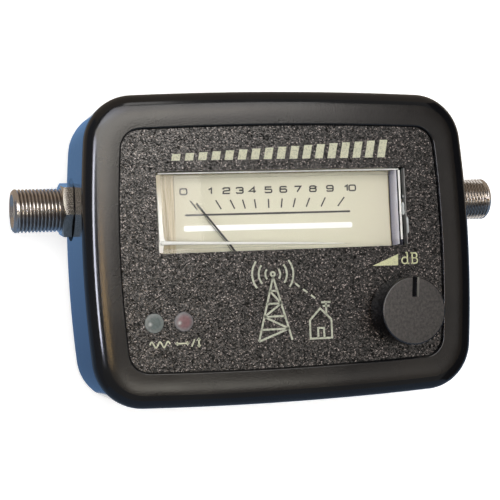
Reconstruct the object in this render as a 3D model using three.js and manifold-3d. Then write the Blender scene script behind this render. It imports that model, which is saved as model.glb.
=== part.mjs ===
// Inline satellite signal meter: a pocket instrument that is joined into the aerial lead between
// a dish and a receiver. It lies on its back. X runs along the face to the right, Y towards the
// upper edge of the face, and Z out of the face. The origin is the centre of the flat back.
// All lengths are in millimetres.

import * as THREE from "three";
import { mergeVertices } from "three/addons/utils/BufferGeometryUtils.js";
import Module from "manifold-3d";

const wasm = await Module();
wasm.setup();

const degrees = Math.PI / 180;

// Clearances that several pieces share.
const fit = 0.3;
const closeFit = 0.2;
const overrun = 1;

// The moulded housing: a front frame on a drafted tub. Its sides and ends bow outwards.
const housing = {
  width: 88.6,
  height: 67.8,
  depth: 30,
  sideBow: 2.1,
  endBow: 1.15,
  cornerRadius: 10.8,
  wall: 2,
  draft: 1.4 * degrees,
  backRadius: 6.5,
  rimHeight: 3,
  rimRadius: 2.5,
  bezelWidth: 7.55,
  bezelFall: 0.25,
  bezelEdge: 0.35,
  seamChamfer: 0.2,
  lipDepth: 2.4,
  lipWall: 1.2,
  plate: 2,
  skin: 1.8,
};
const seamZ = housing.depth - housing.rimHeight;
const panelHalfWidth = housing.width / 2 - housing.bezelWidth;
const panelHalfHeight = housing.height / 2 - housing.bezelWidth;

// The printed sheet that is glued into the recess of the front frame.
const overlay = { thickness: 0.5, recess: 0.8, edgeGap: 0.15, cornerRadius: 4.35 };
const recessCorner = overlay.cornerRadius + overlay.edgeGap;
const faceZ = housing.depth - overlay.recess;
const plateTopZ = faceZ - overlay.thickness;
const plateUnderZ = plateTopZ - housing.plate;

// The rectangular opening over the dial, with the margins that it leaves at the panel's sides.
const opening = {
  leftMargin: 8.35,
  rightMargin: 7.85,
  bottom: -0.76,
  top: 16.68,
  cornerRadius: 0.5,
};
const openingLeft = opening.leftMargin - panelHalfWidth;
const openingRight = panelHalfWidth - opening.rightMargin;

// Coaxial sockets with an external thread of 3/8 inch, one in each end wall.
const socket = {
  standOut: 12.3,
  y: 10.2,
  z: 11.9,
  threadRadius: 4.7625,
  endChamfer: 0.45,
  boreRadius: 3.6,
  mouthDepth: 0.8,
  seatDepth: 1,
  seatRadius: 6.9,
  padDepth: 3.2,
  padRadius: 7.4,
  nutAcross: 11,
  nutThickness: 2.9,
  nutChamfer: 0.5,
  washerRadius: 6.2,
  washerThickness: 0.5,
  flangeRadius: 6,
  flangeThickness: 1.5,
  tailRadius: 4.5,
  tailLength: 2,
  contactRadius: 0.5,
  contactRecess: 1.2,
  contactInset: 0.9,
};
const socketEndX = housing.width / 2 + socket.standOut;
const seatX = housing.width / 2 - socket.seatDepth;
const padX = housing.width / 2 - socket.padDepth;

const socketSides = {
  lnb_socket: { side: -1, nutTurn: -13 * degrees },
  receiver_socket: { side: 1, nutTurn: 9 * degrees },
};

// The control at the lower right: a smooth knob on the shaft of a rotary resistor.
const control = {
  rightMargin: 10.65,
  bottomMargin: 11.05,
  knobRadius: 7.4,
  knobHeight: 7,
  knobLift: 0.5,
  knobChamfer: 0.35,
  knobWall: 1.3,
  knobHollow: 2.7,
  knobCap: 1.7,
  slotWidth: 1.25,
  slotLength: 4.4,
  slotDepth: 1,
  restTurn: -5 * degrees,
  shaftRadius: 2.5,
  shaftFlat: 0.6,
  shaftTail: 4.6,
  bushRadius: 3.5,
  bushRise: 2.2,
  nutAcross: 10,
  nutThickness: 1.8,
  bodyRadius: 5.8,
  bodyHeight: 6.5,
  bodyEdge: 0.6,
  legPitch: 2.5,
  legOffset: 4.6,
  legWidth: 0.8,
};
const controlX = panelHalfWidth - control.rightMargin;
const controlY = control.bottomMargin - panelHalfHeight;

// The two indicator lamps at the lower left, each under a clear spot in the printed sheet.
const lamp = {
  leftMargin: 6.65,
  pitch: 6.45,
  spotRadius: 2.15,
  throatRadius: 1.85,
  lensRadius: 1.5,
  flangeRadius: 1.75,
  flangeHeight: 0.8,
  height: 4.4,
  drop: 0.8,
  leadPitch: 2.54,
  leadWidth: 0.5,
};
const greenLampX = lamp.leftMargin - panelHalfWidth;
const redLampX = greenLampX + lamp.pitch;
const lampY = controlY;

// The moving-coil meter: a clear cover over a tray, with its movement in a neck below the dial.
const meter = {
  leftGap: 0.3,
  rightGap: 0.95,
  bottomGap: 0.14,
  topGap: 0.38,
  frontDrop: 1,
  wall: 0.95,
  shelfTop: 17.5,
  shelfDrop: 0.3,
  shoulderY: -3.5,
  neckHalfWidth: 10.9,
  neckBottom: -20.5,
  bevelRise: 2.5,
  bevelAngle: 35 * degrees,
  bevelSkew: -2.4 * degrees,
  trayShare: 0.4,
  floor: 1.2,
  spigotHeight: 1.2,
  spigotWall: 0.9,
  dialDrop: 5.1,
  dialThickness: 0.5,
  postRadius: 1.5,
  postInset: 3,
  postRise: 2,
};
const meterLeft = openingLeft + meter.leftGap;
const meterRight = openingRight - meter.rightGap;
const windowBottom = opening.bottom + meter.bottomGap;
const windowTop = opening.top - meter.topGap;
const meterFrontZ = faceZ - meter.frontDrop;
const shelfZ = plateUnderZ - meter.shelfDrop;
const trayZ = meter.trayShare * housing.depth;
const trayTopZ = trayZ + meter.floor;
const dialZ = faceZ - meter.dialDrop;
const dialUnderZ = dialZ - meter.dialThickness;
const dialBottomY = meter.shoulderY + meter.wall + closeFit;

// The movement: a ring yoke, a core magnet inside it, and a wire frame that turns between them.
const movement = {
  x: -1.9,
  y: -11.3,
  yokeRadius: 7.2,
  yokeWall: 1.6,
  yokeLift: 2.3,
  coreRadius: 3.4,
  bracketBand: 0.45,
  bracketHeight: 2,
  bracketWeb: 2,
  bracketTurn: -39 * degrees,
  coilInner: 4.25,
  coilWire: 0.6,
  coilWidth: 1.8,
  pivotRadius: 0.35,
  jewelRadius: 1.2,
  jewelHeight: 0.5,
  pivotGap: 0.15,
  springLift: 0.7,
  springRadius: 2.8,
  springCore: 0.75,
  springTurns: 3,
  springBand: 0.16,
  springHeight: 0.3,
  hubRise: 1.3,
  hubRadius: 1.1,
  hubHeight: 0.6,
  bridgeRise: 3.9,
  bridgeHeight: 0.8,
  bridgeGap: 0.25,
  bridgeWidth: 3,
  bridgePost: 0.7,
  ringPosts: 4,
  ringPostRadius: 0.7,
};

const yokeZ = trayTopZ + movement.yokeLift;
const bridgeTopZ = shelfZ - meter.wall - movement.bridgeGap;
const bridgeZ = bridgeTopZ - movement.bridgeHeight;
const yokeTopZ = bridgeZ - movement.bridgeRise;

// The needle points at the first mark when it rests, and swings clockwise over the dial.
const needle = {
  length: 27.1,
  width: 0.38,
  rootWidth: 0.8,
  thickness: 0.3,
  restTurn: 38.1 * degrees,
  crankStart: 5.4,
  crankEnd: 7.4,
  dialGap: 0.6,
  tail: 3.6,
  tailWidth: 0.7,
  weightRadius: 0.75,
  weightHeight: 0.6,
};

// The small lamp that lights the dial from below.
const dialLamp = { y: 13.2, radius: 1.6, length: 8, cradleWidth: 2, cradleSpread: 5, cradleHeight: 2.8 };
const cradleTopZ = trayTopZ + dialLamp.cradleHeight;

// The circuit board and what it carries.
const board = {
  endGap: 6.9,
  sideGap: 10.35,
  thickness: 1.6,
  liftShare: 0.1,
  postInset: 3,
  postY: 2,
  restInset: 4.5,
  postRadius: 2.2,
  notchRadius: 3.8,
  screwRadius: 0.8,
  screwHeadRadius: 1.9,
  screwHeadHeight: 1.2,
  screwDepth: 2.2,
};
const boardHalfLength = housing.width / 2 - housing.wall - board.endGap;
const boardHalfHeight = housing.height / 2 - housing.wall - board.sideGap;
const boardUnderZ = housing.wall + board.liftShare * housing.depth;
const boardZ = boardUnderZ + board.thickness;

// The buzzer, the regulator and the choke stand under the meter's tray, each with a gap above it.
const buzzer = { endGap: 13.5, y: 5, radius: 5.5, topGap: 0.4, holeRadius: 1, holeDepth: 1.5 };
const regulator = { y: -8, radius: 2.4, flatShare: 0.45, topGap: 1 };
const choke = { endGap: 8, sideGap: 9.5, radius: 4, topGap: 0.8, waistRadius: 2.8, flange: 0.9 };

// The capacitors stand in the corners beside the meter's neck.
const largeCapacitor = { radius: 3.15, height: 11, gap: 1.35 };
const smallCapacitor = { radius: 2.5, height: 7, gap: 0.9 };
const capacitorForm = {
  bead: 0.25,
  beadShare: 0.14,
  rollShare: 0.07,
  ventWidth: 0.3,
  ventDepth: 0.25,
};

const chip = {
  y: 4,
  pitch: 14,
  length: 9.8,
  width: 6.3,
  height: 3.3,
  standoff: 0.5,
  legs: 4,
  legPitch: 2.54,
  legWidth: 0.5,
  legReach: 0.7,
  legLevelShare: 0.5,
};
const meterLead = { spread: 8, y: -8, radius: 0.5 };

// Four screws from the back hold the tub to pillars of the front frame.
const screw = {
  endInset: 11.8,
  sideInset: 11.45,
  headRadius: 2.7,
  headHeight: 2,
  headDome: 0.5,
  shankRadius: 1.2,
  tipDrop: 8,
  sinkDepth: 2.6,
  tubPillarRadius: 3.2,
  framePillarRadius: 2.8,
  meetShare: 0.4,
  pilotDrop: 6,
};
const screwMeetZ = screw.meetShare * housing.depth;
const screwTipZ = housing.depth - screw.tipDrop;
const pilotTopZ = housing.depth - screw.pilotDrop;
const screwX = housing.width / 2 - screw.endInset;
const screwY = housing.height / 2 - screw.sideInset;

// Strengthening ribs that stand on the floor of the tub.
const rib = { thickness: 1, height: 2.2, count: 3, spacing: 16, inset: 6 };

// Facet counts.
const sides = { dial: 48, round: 24, small: 12, tiny: 8, corner: 5, side: 2, end: 3, fillet: 4, rim: 4 };

// Finishes.
const finishes = {
  satinBlack: { color: 0x24211f, roughness: 0.42, metalness: 0 },
  glossBlack: { color: 0x0d0d0f, roughness: 0.16, metalness: 0 },
  grainedPrint: { color: 0x35302d, roughness: 0.62, metalness: 0 },
  nickel: { color: 0x9c948a, roughness: 0.28, metalness: 1 },
  brass: { color: 0xb08d4a, roughness: 0.35, metalness: 1 },
  steel: { color: 0x83858a, roughness: 0.35, metalness: 1 },
  copper: { color: 0xb06a3c, roughness: 0.4, metalness: 1 },
  insulator: { color: 0xe8e4da, roughness: 0.5, metalness: 0 },
  clear: { color: 0xe9eef0, roughness: 0.06, metalness: 0, transparent: true, opacity: 0.25 },
  cream: { color: 0xdedac4, roughness: 0.7, metalness: 0 },
  paleTray: { color: 0xd8cfb4, roughness: 0.6, metalness: 0 },
  needleBlack: { color: 0x15151a, roughness: 0.5, metalness: 0 },
  greenLens: { color: 0x5f7a6c, roughness: 0.2, metalness: 0 },
  redLens: { color: 0x8a4a4c, roughness: 0.2, metalness: 0 },
  smokedSpot: { color: 0x6a6a68, roughness: 0.3, metalness: 0, transparent: true, opacity: 0.45 },
  boardGreen: { color: 0x2f5a3a, roughness: 0.5, metalness: 0 },
  partBlack: { color: 0x18181a, roughness: 0.55, metalness: 0 },
  sleeveBlue: { color: 0x20304f, roughness: 0.35, metalness: 0 },
  ferrite: { color: 0x3a3a3c, roughness: 0.7, metalness: 0 },
  glassBulb: { color: 0xf2e9cf, roughness: 0.08, metalness: 0 },
};

// Geometry helpers

function solid(geometry) {
  const bare = geometry.index ? geometry.toNonIndexed() : geometry.clone();
  bare.deleteAttribute("normal");
  bare.deleteAttribute("uv");
  const merged = mergeVertices(bare);
  return new wasm.Manifold(
    new wasm.Mesh({
      numProp: 3,
      vertProperties: merged.attributes.position.array,
      triVerts: new Uint32Array(merged.index.array),
    }),
  );
}

function geometryOf(body) {
  const mesh = body.getMesh();
  const geometry = new THREE.BufferGeometry();
  geometry.setAttribute("position", new THREE.BufferAttribute(new Float32Array(mesh.vertProperties), 3));
  geometry.setIndex(new THREE.BufferAttribute(new Uint32Array(mesh.triVerts), 1));
  const faceted = geometry.toNonIndexed();
  faceted.computeVertexNormals();
  return faceted;
}

function joined(...bodies) {
  return bodies.reduce((sum, body) => sum.add(body));
}

function cut(body, ...tools) {
  return tools.reduce((rest, tool) => rest.subtract(tool), body);
}

function block([x0, x1], [y0, y1], [z0, z1]) {
  const box = new THREE.BoxGeometry(x1 - x0, y1 - y0, z1 - z0);
  return solid(box.translate((x0 + x1) / 2, (y0 + y1) / 2, (z0 + z1) / 2));
}

function rod(radius, [z0, z1], { x = 0, y = 0, count = sides.small } = {}) {
  const cylinder = new THREE.CylinderGeometry(radius, radius, z1 - z0, count);
  return solid(cylinder.rotateX(Math.PI / 2).translate(x, y, (z0 + z1) / 2));
}

// A body turned about Z: its profile of [radius, height] pairs runs round from the lowest point of
// the axis to the highest, or closes on itself.
function turned(profile, { x = 0, y = 0, count = sides.small } = {}) {
  const lathe = new THREE.LatheGeometry(profile.map(([r, z]) => new THREE.Vector2(r, z)), count);
  return solid(lathe.rotateX(Math.PI / 2).translate(x, y, 0));
}

function prism(shape, [z0, z1], curveSegments = sides.tiny) {
  const options = { depth: z1 - z0, bevelEnabled: false, curveSegments };
  return solid(new THREE.ExtrudeGeometry(shape, options).translate(0, 0, z0));
}

function shapeOf(points) {
  return new THREE.Shape(points.map(([x, y]) => new THREE.Vector2(x, y)));
}

function hexagon(acrossFlats) {
  const cornerRadius = acrossFlats / Math.sqrt(3);
  const corners = Array.from({ length: 6 }, (_, i) => {
    const angle = (i * Math.PI) / 3;
    return [cornerRadius * Math.cos(angle), cornerRadius * Math.sin(angle)];
  });
  return shapeOf(corners);
}

function arcPoints(cx, cy, radius, from, to, steps) {
  return Array.from({ length: steps + 1 }, (_, i) => {
    const angle = from + ((to - from) * i) / steps;
    return [cx + radius * Math.cos(angle), cy + radius * Math.sin(angle)];
  });
}

// Where two circles meet in the first quadrant.
function meeting(ax, ar, by, br) {
  const apart = Math.hypot(ax, by);
  const along = (ar * ar - br * br + apart * apart) / (2 * apart);
  const across = Math.sqrt(ar * ar - along * along);
  const x = ax - (along * ax) / apart;
  const y = (along * by) / apart;
  const first = [x + (across * by) / apart, y + (across * ax) / apart];
  const second = [x - (across * by) / apart, y - (across * ax) / apart];
  return first[0] > 0 && first[1] > 0 ? first : second;
}

// The housing's outline, moved inwards by the inset: bowed sides and ends that meet in round corners.
function housingOutline(inset, corner = housing.cornerRadius - inset) {
  const halfWidth = housing.width / 2;
  const halfHeight = housing.height / 2;
  const sideRadius = ((halfHeight - housing.endBow) ** 2 + housing.sideBow ** 2) / (2 * housing.sideBow);
  const endRadius = ((halfWidth - housing.sideBow) ** 2 + housing.endBow ** 2) / (2 * housing.endBow);
  const sideCentre = halfWidth - sideRadius;
  const endCentre = halfHeight - endRadius;
  const [cx, cy] = meeting(
    sideCentre,
    sideRadius - inset - corner,
    endCentre,
    endRadius - inset - corner,
  );
  const sideEnd = Math.atan2(cy, cx - sideCentre);
  const endStart = Math.atan2(cy - endCentre, cx);
  const quadrant = [
    ...arcPoints(sideCentre, 0, sideRadius - inset, 0, sideEnd, sides.side),
    ...arcPoints(cx, cy, corner, sideEnd, endStart, sides.corner).slice(1),
    ...arcPoints(0, endCentre, endRadius - inset, endStart, Math.PI / 2, sides.end).slice(1),
  ];
  const upperLeft = quadrant.slice(0, -1).reverse().map(([x, y]) => [-x, y]);
  const lowerLeft = quadrant.slice(1).map(([x, y]) => [-x, -y]);
  const lowerRight = quadrant.slice(1, -1).reverse().map(([x, y]) => [x, -y]);
  return [...quadrant, ...upperLeft, ...lowerLeft, ...lowerRight];
}

// A closed body through housing outlines, given from the lowest to the highest as [inset, z], or
// as [inset, z, corner] where the corners aren't parallel to the housing's.
function housingLoft(sections) {
  const rings = sections.map(([inset, z, corner]) => {
    return housingOutline(inset, corner).map(([x, y]) => [x, y, z]);
  });
  const count = rings[0].length;
  const lowest = sections[0][1];
  const highest = sections[sections.length - 1][1];
  const positions = [...rings.flat(), [0, 0, lowest], [0, 0, highest]];
  const under = rings.length * count;
  const over = under + 1;
  const lastRing = (rings.length - 1) * count;
  const faces = [];
  for (let i = 0; i < count; i += 1) {
    const next = (i + 1) % count;
    for (let ring = 0; ring < rings.length - 1; ring += 1) {
      const low = ring * count;
      const high = low + count;
      faces.push(low + i, low + next, high + next);
      faces.push(low + i, high + next, high + i);
    }
    faces.push(under, next, i);
    faces.push(over, lastRing + i, lastRing + next);
  }
  const geometry = new THREE.BufferGeometry();
  geometry.setAttribute("position", new THREE.Float32BufferAttribute(positions.flat(), 3));
  geometry.setIndex(faces);
  return solid(geometry);
}

function draftInset(z) {
  return (seamZ - z) * Math.tan(housing.draft);
}

// Sections of the tub's outer form, or of a form a wall's thickness inside it.
function tubSections(wall, topZ) {
  const radius = housing.backRadius - wall;
  const fillet = Array.from({ length: sides.fillet + 1 }, (_, i) => {
    const angle = ((Math.PI / 2) * i) / sides.fillet;
    const inset = wall + draftInset(housing.backRadius) + radius * (1 - Math.sin(angle));
    return [inset, wall + radius * (1 - Math.cos(angle))];
  });
  return [...fillet, [wall + draftInset(topZ), topZ]];
}

// Sections of the front frame's outer form: a short upright side, a round rim and a bezel that
// rises inwards.
function frameSections() {
  const crestZ = housing.depth - housing.bezelFall;
  const centreZ = crestZ - housing.rimRadius;
  const rim = Array.from({ length: sides.rim + 1 }, (_, i) => {
    const angle = ((Math.PI / 2) * i) / sides.rim;
    const inset = housing.rimRadius * (1 - Math.cos(angle));
    return [inset, centreZ + housing.rimRadius * Math.sin(angle)];
  });
  return [
    [housing.seamChamfer, seamZ],
    [0, seamZ + housing.seamChamfer],
    ...rim,
    [housing.bezelWidth - housing.bezelEdge, housing.depth],
  ];
}

// The window's opening, grown outwards by a clearance.
function openingShape(grow) {
  const x0 = openingLeft - grow;
  const x1 = openingRight + grow;
  const y0 = opening.bottom - grow;
  const y1 = opening.top + grow;
  const r = opening.cornerRadius;
  const shape = new THREE.Shape();
  shape.moveTo(x0 + r, y0);
  shape.lineTo(x1 - r, y0);
  shape.absarc(x1 - r, y0 + r, r, -Math.PI / 2, 0);
  shape.lineTo(x1, y1 - r);
  shape.absarc(x1 - r, y1 - r, r, 0, Math.PI / 2);
  shape.lineTo(x0 + r, y1);
  shape.absarc(x0 + r, y1 - r, r, Math.PI / 2, Math.PI);
  shape.lineTo(x0, y0 + r);
  shape.absarc(x0 + r, y0 + r, r, Math.PI, 1.5 * Math.PI);
  return shape;
}

// Housing

const screwCorners = [
  [-1, -1],
  [1, -1],
  [1, 1],
  [-1, 1],
];

function lampCentres() {
  return [
    [greenLampX, lampY],
    [redLampX, lampY],
  ];
}

function frontShell() {
  const { wall, lipDepth, lipWall, bezelWidth, bezelEdge, depth, skin } = housing;
  const lipOuter = wall + fit;
  const lipInner = lipOuter + lipWall;
  const lipZ = seamZ - lipDepth;
  const body = joined(
    housingLoft(frameSections()),
    housingLoft([
      [lipOuter + draftInset(lipZ), lipZ],
      [lipOuter, seamZ],
      [lipOuter, seamZ + housing.seamChamfer],
    ]),
  );
  const inside = housingLoft([
    [lipInner + draftInset(lipZ), lipZ - overrun],
    [lipInner, plateUnderZ],
  ]);
  const recess = housingLoft([
    [bezelWidth, plateTopZ, recessCorner],
    [bezelWidth, depth - bezelEdge, recessCorner],
    [bezelWidth - 2 * bezelEdge, depth + bezelEdge, recessCorner + 2 * bezelEdge],
  ]);
  const channelInner = bezelWidth - lipWall;
  const channel = cut(
    housingLoft([
      [lipInner, plateUnderZ - overrun],
      [lipInner, depth - skin],
    ]),
    housingLoft([
      [channelInner, plateUnderZ - 2 * overrun],
      [channelInner, depth],
    ]),
  );
  const pillars = screwCorners.map(([sx, sy]) => {
    const place = { x: sx * screwX, y: sy * screwY, count: sides.small };
    const pillar = rod(screw.framePillarRadius, [screwMeetZ, depth - skin], place);
    return cut(pillar, rod(screw.shankRadius + fit, [screwMeetZ - overrun, pilotTopZ], place));
  });
  const holes = [
    prism(openingShape(0), [plateUnderZ - overrun, depth]),
    rod(control.bushRadius + fit, [plateUnderZ - overrun, depth], { x: controlX, y: controlY }),
    ...lampCentres().map(([x, y]) => rod(lamp.throatRadius, [plateUnderZ - overrun, depth], { x, y })),
  ];
  return joined(cut(body, inside, recess, channel, ...holes), ...pillars);
}

// A tool along X that meets one end wall: the profile's radius is measured from the socket's axis.
function wallTool(side, radius, [x0, x1], count = sides.round) {
  const cylinder = new THREE.CylinderGeometry(radius, radius, x1 - x0, count);
  return solid(cylinder.rotateZ(Math.PI / 2).translate((side * (x0 + x1)) / 2, socket.y, socket.z));
}

function floorRibs() {
  const halfHeight = housing.height / 2 - housing.backRadius - rib.inset;
  return Array.from({ length: rib.count }, (_, i) => {
    const x = (i - (rib.count - 1) / 2) * rib.spacing;
    return block(
      [x - rib.thickness / 2, x + rib.thickness / 2],
      [-halfHeight, halfHeight],
      [housing.wall / 2, housing.wall + rib.height],
    );
  });
}

function rearShell() {
  const { wall, width, seamChamfer } = housing;
  const outside = housingLoft([...tubSections(0, seamZ - seamChamfer), [seamChamfer, seamZ]]);
  const inside = housingLoft([...tubSections(wall, seamZ), [wall, seamZ + overrun]]);
  const tub = cut(outside, inside);
  const pads = [-1, 1].map((side) => {
    const pad = wallTool(side, socket.padRadius, [padX, width / 2 - wall / 2]);
    return pad.intersect(outside);
  });
  const boardPosts = [...boardScrewPlaces(), ...boardRestPlaces()].map((place) =>
    rod(board.postRadius, [wall / 2, boardUnderZ], place),
  );
  const pillars = screwCorners.map(([sx, sy]) =>
    rod(screw.tubPillarRadius, [wall / 2, screwMeetZ], { x: sx * screwX, y: sy * screwY }),
  );
  const seats = [-1, 1].flatMap((side) => [
    wallTool(side, socket.seatRadius, [seatX, width / 2 + overrun]),
    wallTool(side, socket.threadRadius + fit, [padX - overrun, width / 2 + overrun]),
  ]);
  const screwHoles = screwCorners.flatMap(([sx, sy]) => {
    const place = { x: sx * screwX, y: sy * screwY };
    return [
      rod(screw.headRadius + fit, [-overrun, screw.sinkDepth], place),
      rod(screw.shankRadius + fit, [-overrun, screwMeetZ + overrun], place),
    ];
  });
  const boardHoles = boardScrewPlaces().map((place) =>
    rod(board.screwRadius + fit, [boardUnderZ - board.screwDepth - fit, boardUnderZ + overrun], place),
  );
  const whole = joined(tub, ...pads, ...boardPosts, ...pillars, ...floorRibs());
  return cut(whole, ...seats, ...screwHoles, ...boardHoles);
}

function panelOverlay() {
  const inset = housing.bezelWidth + overlay.edgeGap;
  const sheet = housingLoft([
    [inset, plateTopZ, overlay.cornerRadius],
    [inset, faceZ, overlay.cornerRadius],
  ]);
  const span = [plateTopZ - overrun, faceZ + overrun];
  return cut(
    sheet,
    prism(openingShape(0), span),
    rod(control.bushRadius + fit, span, { x: controlX, y: controlY }),
    ...lampCentres().map(([x, y]) => rod(lamp.spotRadius, span, { x, y, count: sides.round })),
  );
}

function caseScrew([sx, sy]) {
  const headZ = screw.sinkDepth - screw.headHeight;
  return turned(
    [
      [0, headZ],
      [screw.headRadius - screw.headDome, headZ],
      [screw.headRadius, headZ + screw.headDome],
      [screw.headRadius, screw.sinkDepth],
      [screw.shankRadius, screw.sinkDepth],
      [screw.shankRadius, screwTipZ - screw.shankRadius],
      [0, screwTipZ],
    ],
    { x: sx * screwX, y: sy * screwY },
  );
}

// Sockets, built along +Z from the centre of the meter and laid along X afterwards.

function laidToSide(side, body) {
  const geometry = geometryOf(body).rotateY((side * Math.PI) / 2);
  return solid(geometry.translate(0, socket.y, socket.z));
}

function flangeX() {
  return padX - socket.washerThickness;
}

function socketBarrel(side) {
  const { threadRadius, endChamfer, boreRadius, flangeRadius, flangeThickness } = socket;
  const backX = flangeX() - flangeThickness;
  const tailX = backX - socket.tailLength;
  const profile = [
    [boreRadius, tailX],
    [socket.tailRadius, tailX],
    [socket.tailRadius, backX],
    [flangeRadius, backX],
    [flangeRadius, flangeX()],
    [threadRadius, flangeX()],
    [threadRadius, socketEndX - endChamfer],
    [threadRadius - endChamfer, socketEndX],
    [boreRadius, socketEndX],
    [boreRadius, tailX],
  ];
  return laidToSide(side, turned(profile, { count: sides.round }));
}

function socketNut(side, turn) {
  const { nutAcross, nutThickness, nutChamfer, threadRadius } = socket;
  const span = [seatX, seatX + nutThickness];
  const cornerRadius = nutAcross / Math.sqrt(3);
  const chamfered = turned(
    [
      [0, span[0]],
      [cornerRadius - nutChamfer, span[0]],
      [cornerRadius, span[0] + nutChamfer / 2],
      [cornerRadius, span[1] - nutChamfer / 2],
      [cornerRadius - nutChamfer, span[1]],
      [0, span[1]],
    ],
    { count: sides.round },
  );
  const hole = rod(threadRadius + closeFit, [span[0] - overrun, span[1] + overrun], { count: sides.round });
  const blank = solid(geometryOf(prism(hexagon(nutAcross), span)).rotateZ(turn));
  return laidToSide(side, cut(blank.intersect(chamfered), hole));
}

function socketWasher(side) {
  const { washerRadius, washerThickness, threadRadius } = socket;
  const disc = rod(washerRadius, [padX - washerThickness, padX], { count: sides.round });
  const hole = rod(threadRadius + closeFit, [flangeX() - overrun, padX + overrun], { count: sides.round });
  return laidToSide(side, cut(disc, hole));
}

function socketInsulator(side) {
  const { boreRadius, mouthDepth, flangeThickness, tailLength, contactRadius } = socket;
  const innerX = flangeX() - flangeThickness - tailLength;
  const span = [innerX, socketEndX - mouthDepth];
  const plug = rod(boreRadius - closeFit, span, { count: sides.round });
  const hole = rod(contactRadius + closeFit, [span[0] - overrun, span[1] + overrun]);
  return laidToSide(side, cut(plug, hole));
}

function socketContact(side) {
  const { contactRadius, contactRecess, contactInset, y, z } = socket;
  const contactX = boardHalfLength - contactInset;
  const pin = rod(contactRadius, [contactX, socketEndX - contactRecess], { count: sides.tiny });
  const half = contactRadius;
  const x = side * (contactX + half);
  const leg = block([x - half, x + half], [y - half, y + half], [boardZ, z + half]);
  return joined(laidToSide(side, pin), leg);
}

// Meter

// The meter's T-shaped plan, moved inwards by the inset: a wide dial chamber on a neck for the movement.
function meterPlan(inset) {
  const left = meterLeft + inset;
  const right = meterRight - inset;
  const top = meter.shelfTop - inset;
  const shoulder = meter.shoulderY + inset;
  const neck = meter.neckHalfWidth - inset;
  const bottom = meter.neckBottom + inset;
  return shapeOf([
    [movement.x - neck, bottom],
    [movement.x + neck, bottom],
    [movement.x + neck, shoulder],
    [right, shoulder],
    [right, top],
    [left, top],
    [left, shoulder],
    [movement.x - neck, shoulder],
  ]);
}

// What the sloping lower edge of the cover's front takes away, moved inwards by the inset.
function bevelTool(inset) {
  const size = meterRight - meterLeft + 2 * overrun;
  const wedge = new THREE.BoxGeometry(2 * size, size, size);
  wedge.translate(0, 0, size / 2 - inset);
  wedge.rotateX(meter.bevelAngle).rotateZ(meter.bevelSkew);
  return solid(wedge.translate(meterLeft, windowBottom + meter.bevelRise, meterFrontZ));
}

function windowBlock(inset) {
  const body = block(
    [meterLeft + inset, meterRight - inset],
    [windowBottom + inset, windowTop - inset],
    [shelfZ - 2 * inset - overrun, meterFrontZ - inset],
  );
  return cut(body, bevelTool(inset));
}

function meterCover() {
  const outside = joined(prism(meterPlan(0), [trayTopZ, shelfZ]), windowBlock(0));
  const inside = joined(
    prism(meterPlan(meter.wall), [trayTopZ - overrun, shelfZ - meter.wall]),
    windowBlock(meter.wall),
  );
  return cut(outside, inside);
}

function dialPosts() {
  const x0 = meterLeft + meter.wall + meter.postInset;
  const x1 = meterRight - meter.wall - meter.postInset;
  const y0 = dialBottomY + meter.postRise;
  const y1 = meter.shelfTop - meter.wall - meter.postInset;
  return [
    [x0, y0],
    [x1, y0],
    [x1, y1],
    [x0, y1],
  ].map(([x, y]) => rod(meter.postRadius, [trayTopZ - meter.floor / 2, dialUnderZ], { x, y }));
}

function yokePosts() {
  const radius = movement.yokeRadius - movement.yokeWall / 2;
  return Array.from({ length: movement.ringPosts }, (_, i) => {
    const angle = ((i + 0.5) * 2 * Math.PI) / movement.ringPosts;
    const place = { x: movement.x + radius * Math.cos(angle), y: movement.y + radius * Math.sin(angle) };
    return rod(movement.ringPostRadius, [trayTopZ - meter.floor / 2, yokeZ], place);
  });
}

function lampCradles() {
  const half = dialLamp.cradleWidth / 2;
  return [-1, 1].map((side) => {
    const x = movement.x + (side * dialLamp.cradleSpread) / 2;
    return block(
      [x - half, x + half],
      [dialLamp.y - dialLamp.radius, dialLamp.y + dialLamp.radius],
      [trayTopZ - meter.floor / 2, cradleTopZ],
    );
  });
}

function leadPlaces() {
  return [-1, 1].map((side) => ({ x: movement.x + side * meterLead.spread, y: meterLead.y }));
}

function meterBase() {
  const inner = meter.wall + closeFit;
  const tray = prism(meterPlan(0), [trayZ, trayTopZ]);
  const spigotTopZ = trayTopZ + meter.spigotHeight;
  const spigot = cut(
    prism(meterPlan(inner), [trayTopZ - meter.floor / 2, spigotTopZ]),
    prism(meterPlan(inner + meter.spigotWall), [trayTopZ - meter.floor, spigotTopZ + overrun]),
  );
  const holes = leadPlaces().map((place) =>
    rod(meterLead.radius + closeFit, [trayZ - overrun, trayTopZ + overrun], place),
  );
  const body = joined(tray, spigot, ...dialPosts(), ...yokePosts(), ...lampCradles());
  return cut(body, ...holes);
}

function scalePlate() {
  const edge = meter.wall + closeFit;
  return block(
    [meterLeft + edge, meterRight - edge],
    [dialBottomY, meter.shelfTop - edge],
    [dialUnderZ, dialZ],
  );
}

function meterYoke() {
  const { x, y, yokeRadius, yokeWall } = movement;
  const place = { x, y, count: sides.round };
  const ring = rod(yokeRadius, [yokeZ, yokeTopZ], place);
  return cut(ring, rod(yokeRadius - yokeWall, [yokeZ - overrun, yokeTopZ + overrun], place));
}

function coreMagnet() {
  const { x, y, coreRadius } = movement;
  return rod(coreRadius, [yokeZ, yokeTopZ], { x, y, count: sides.round });
}

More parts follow.
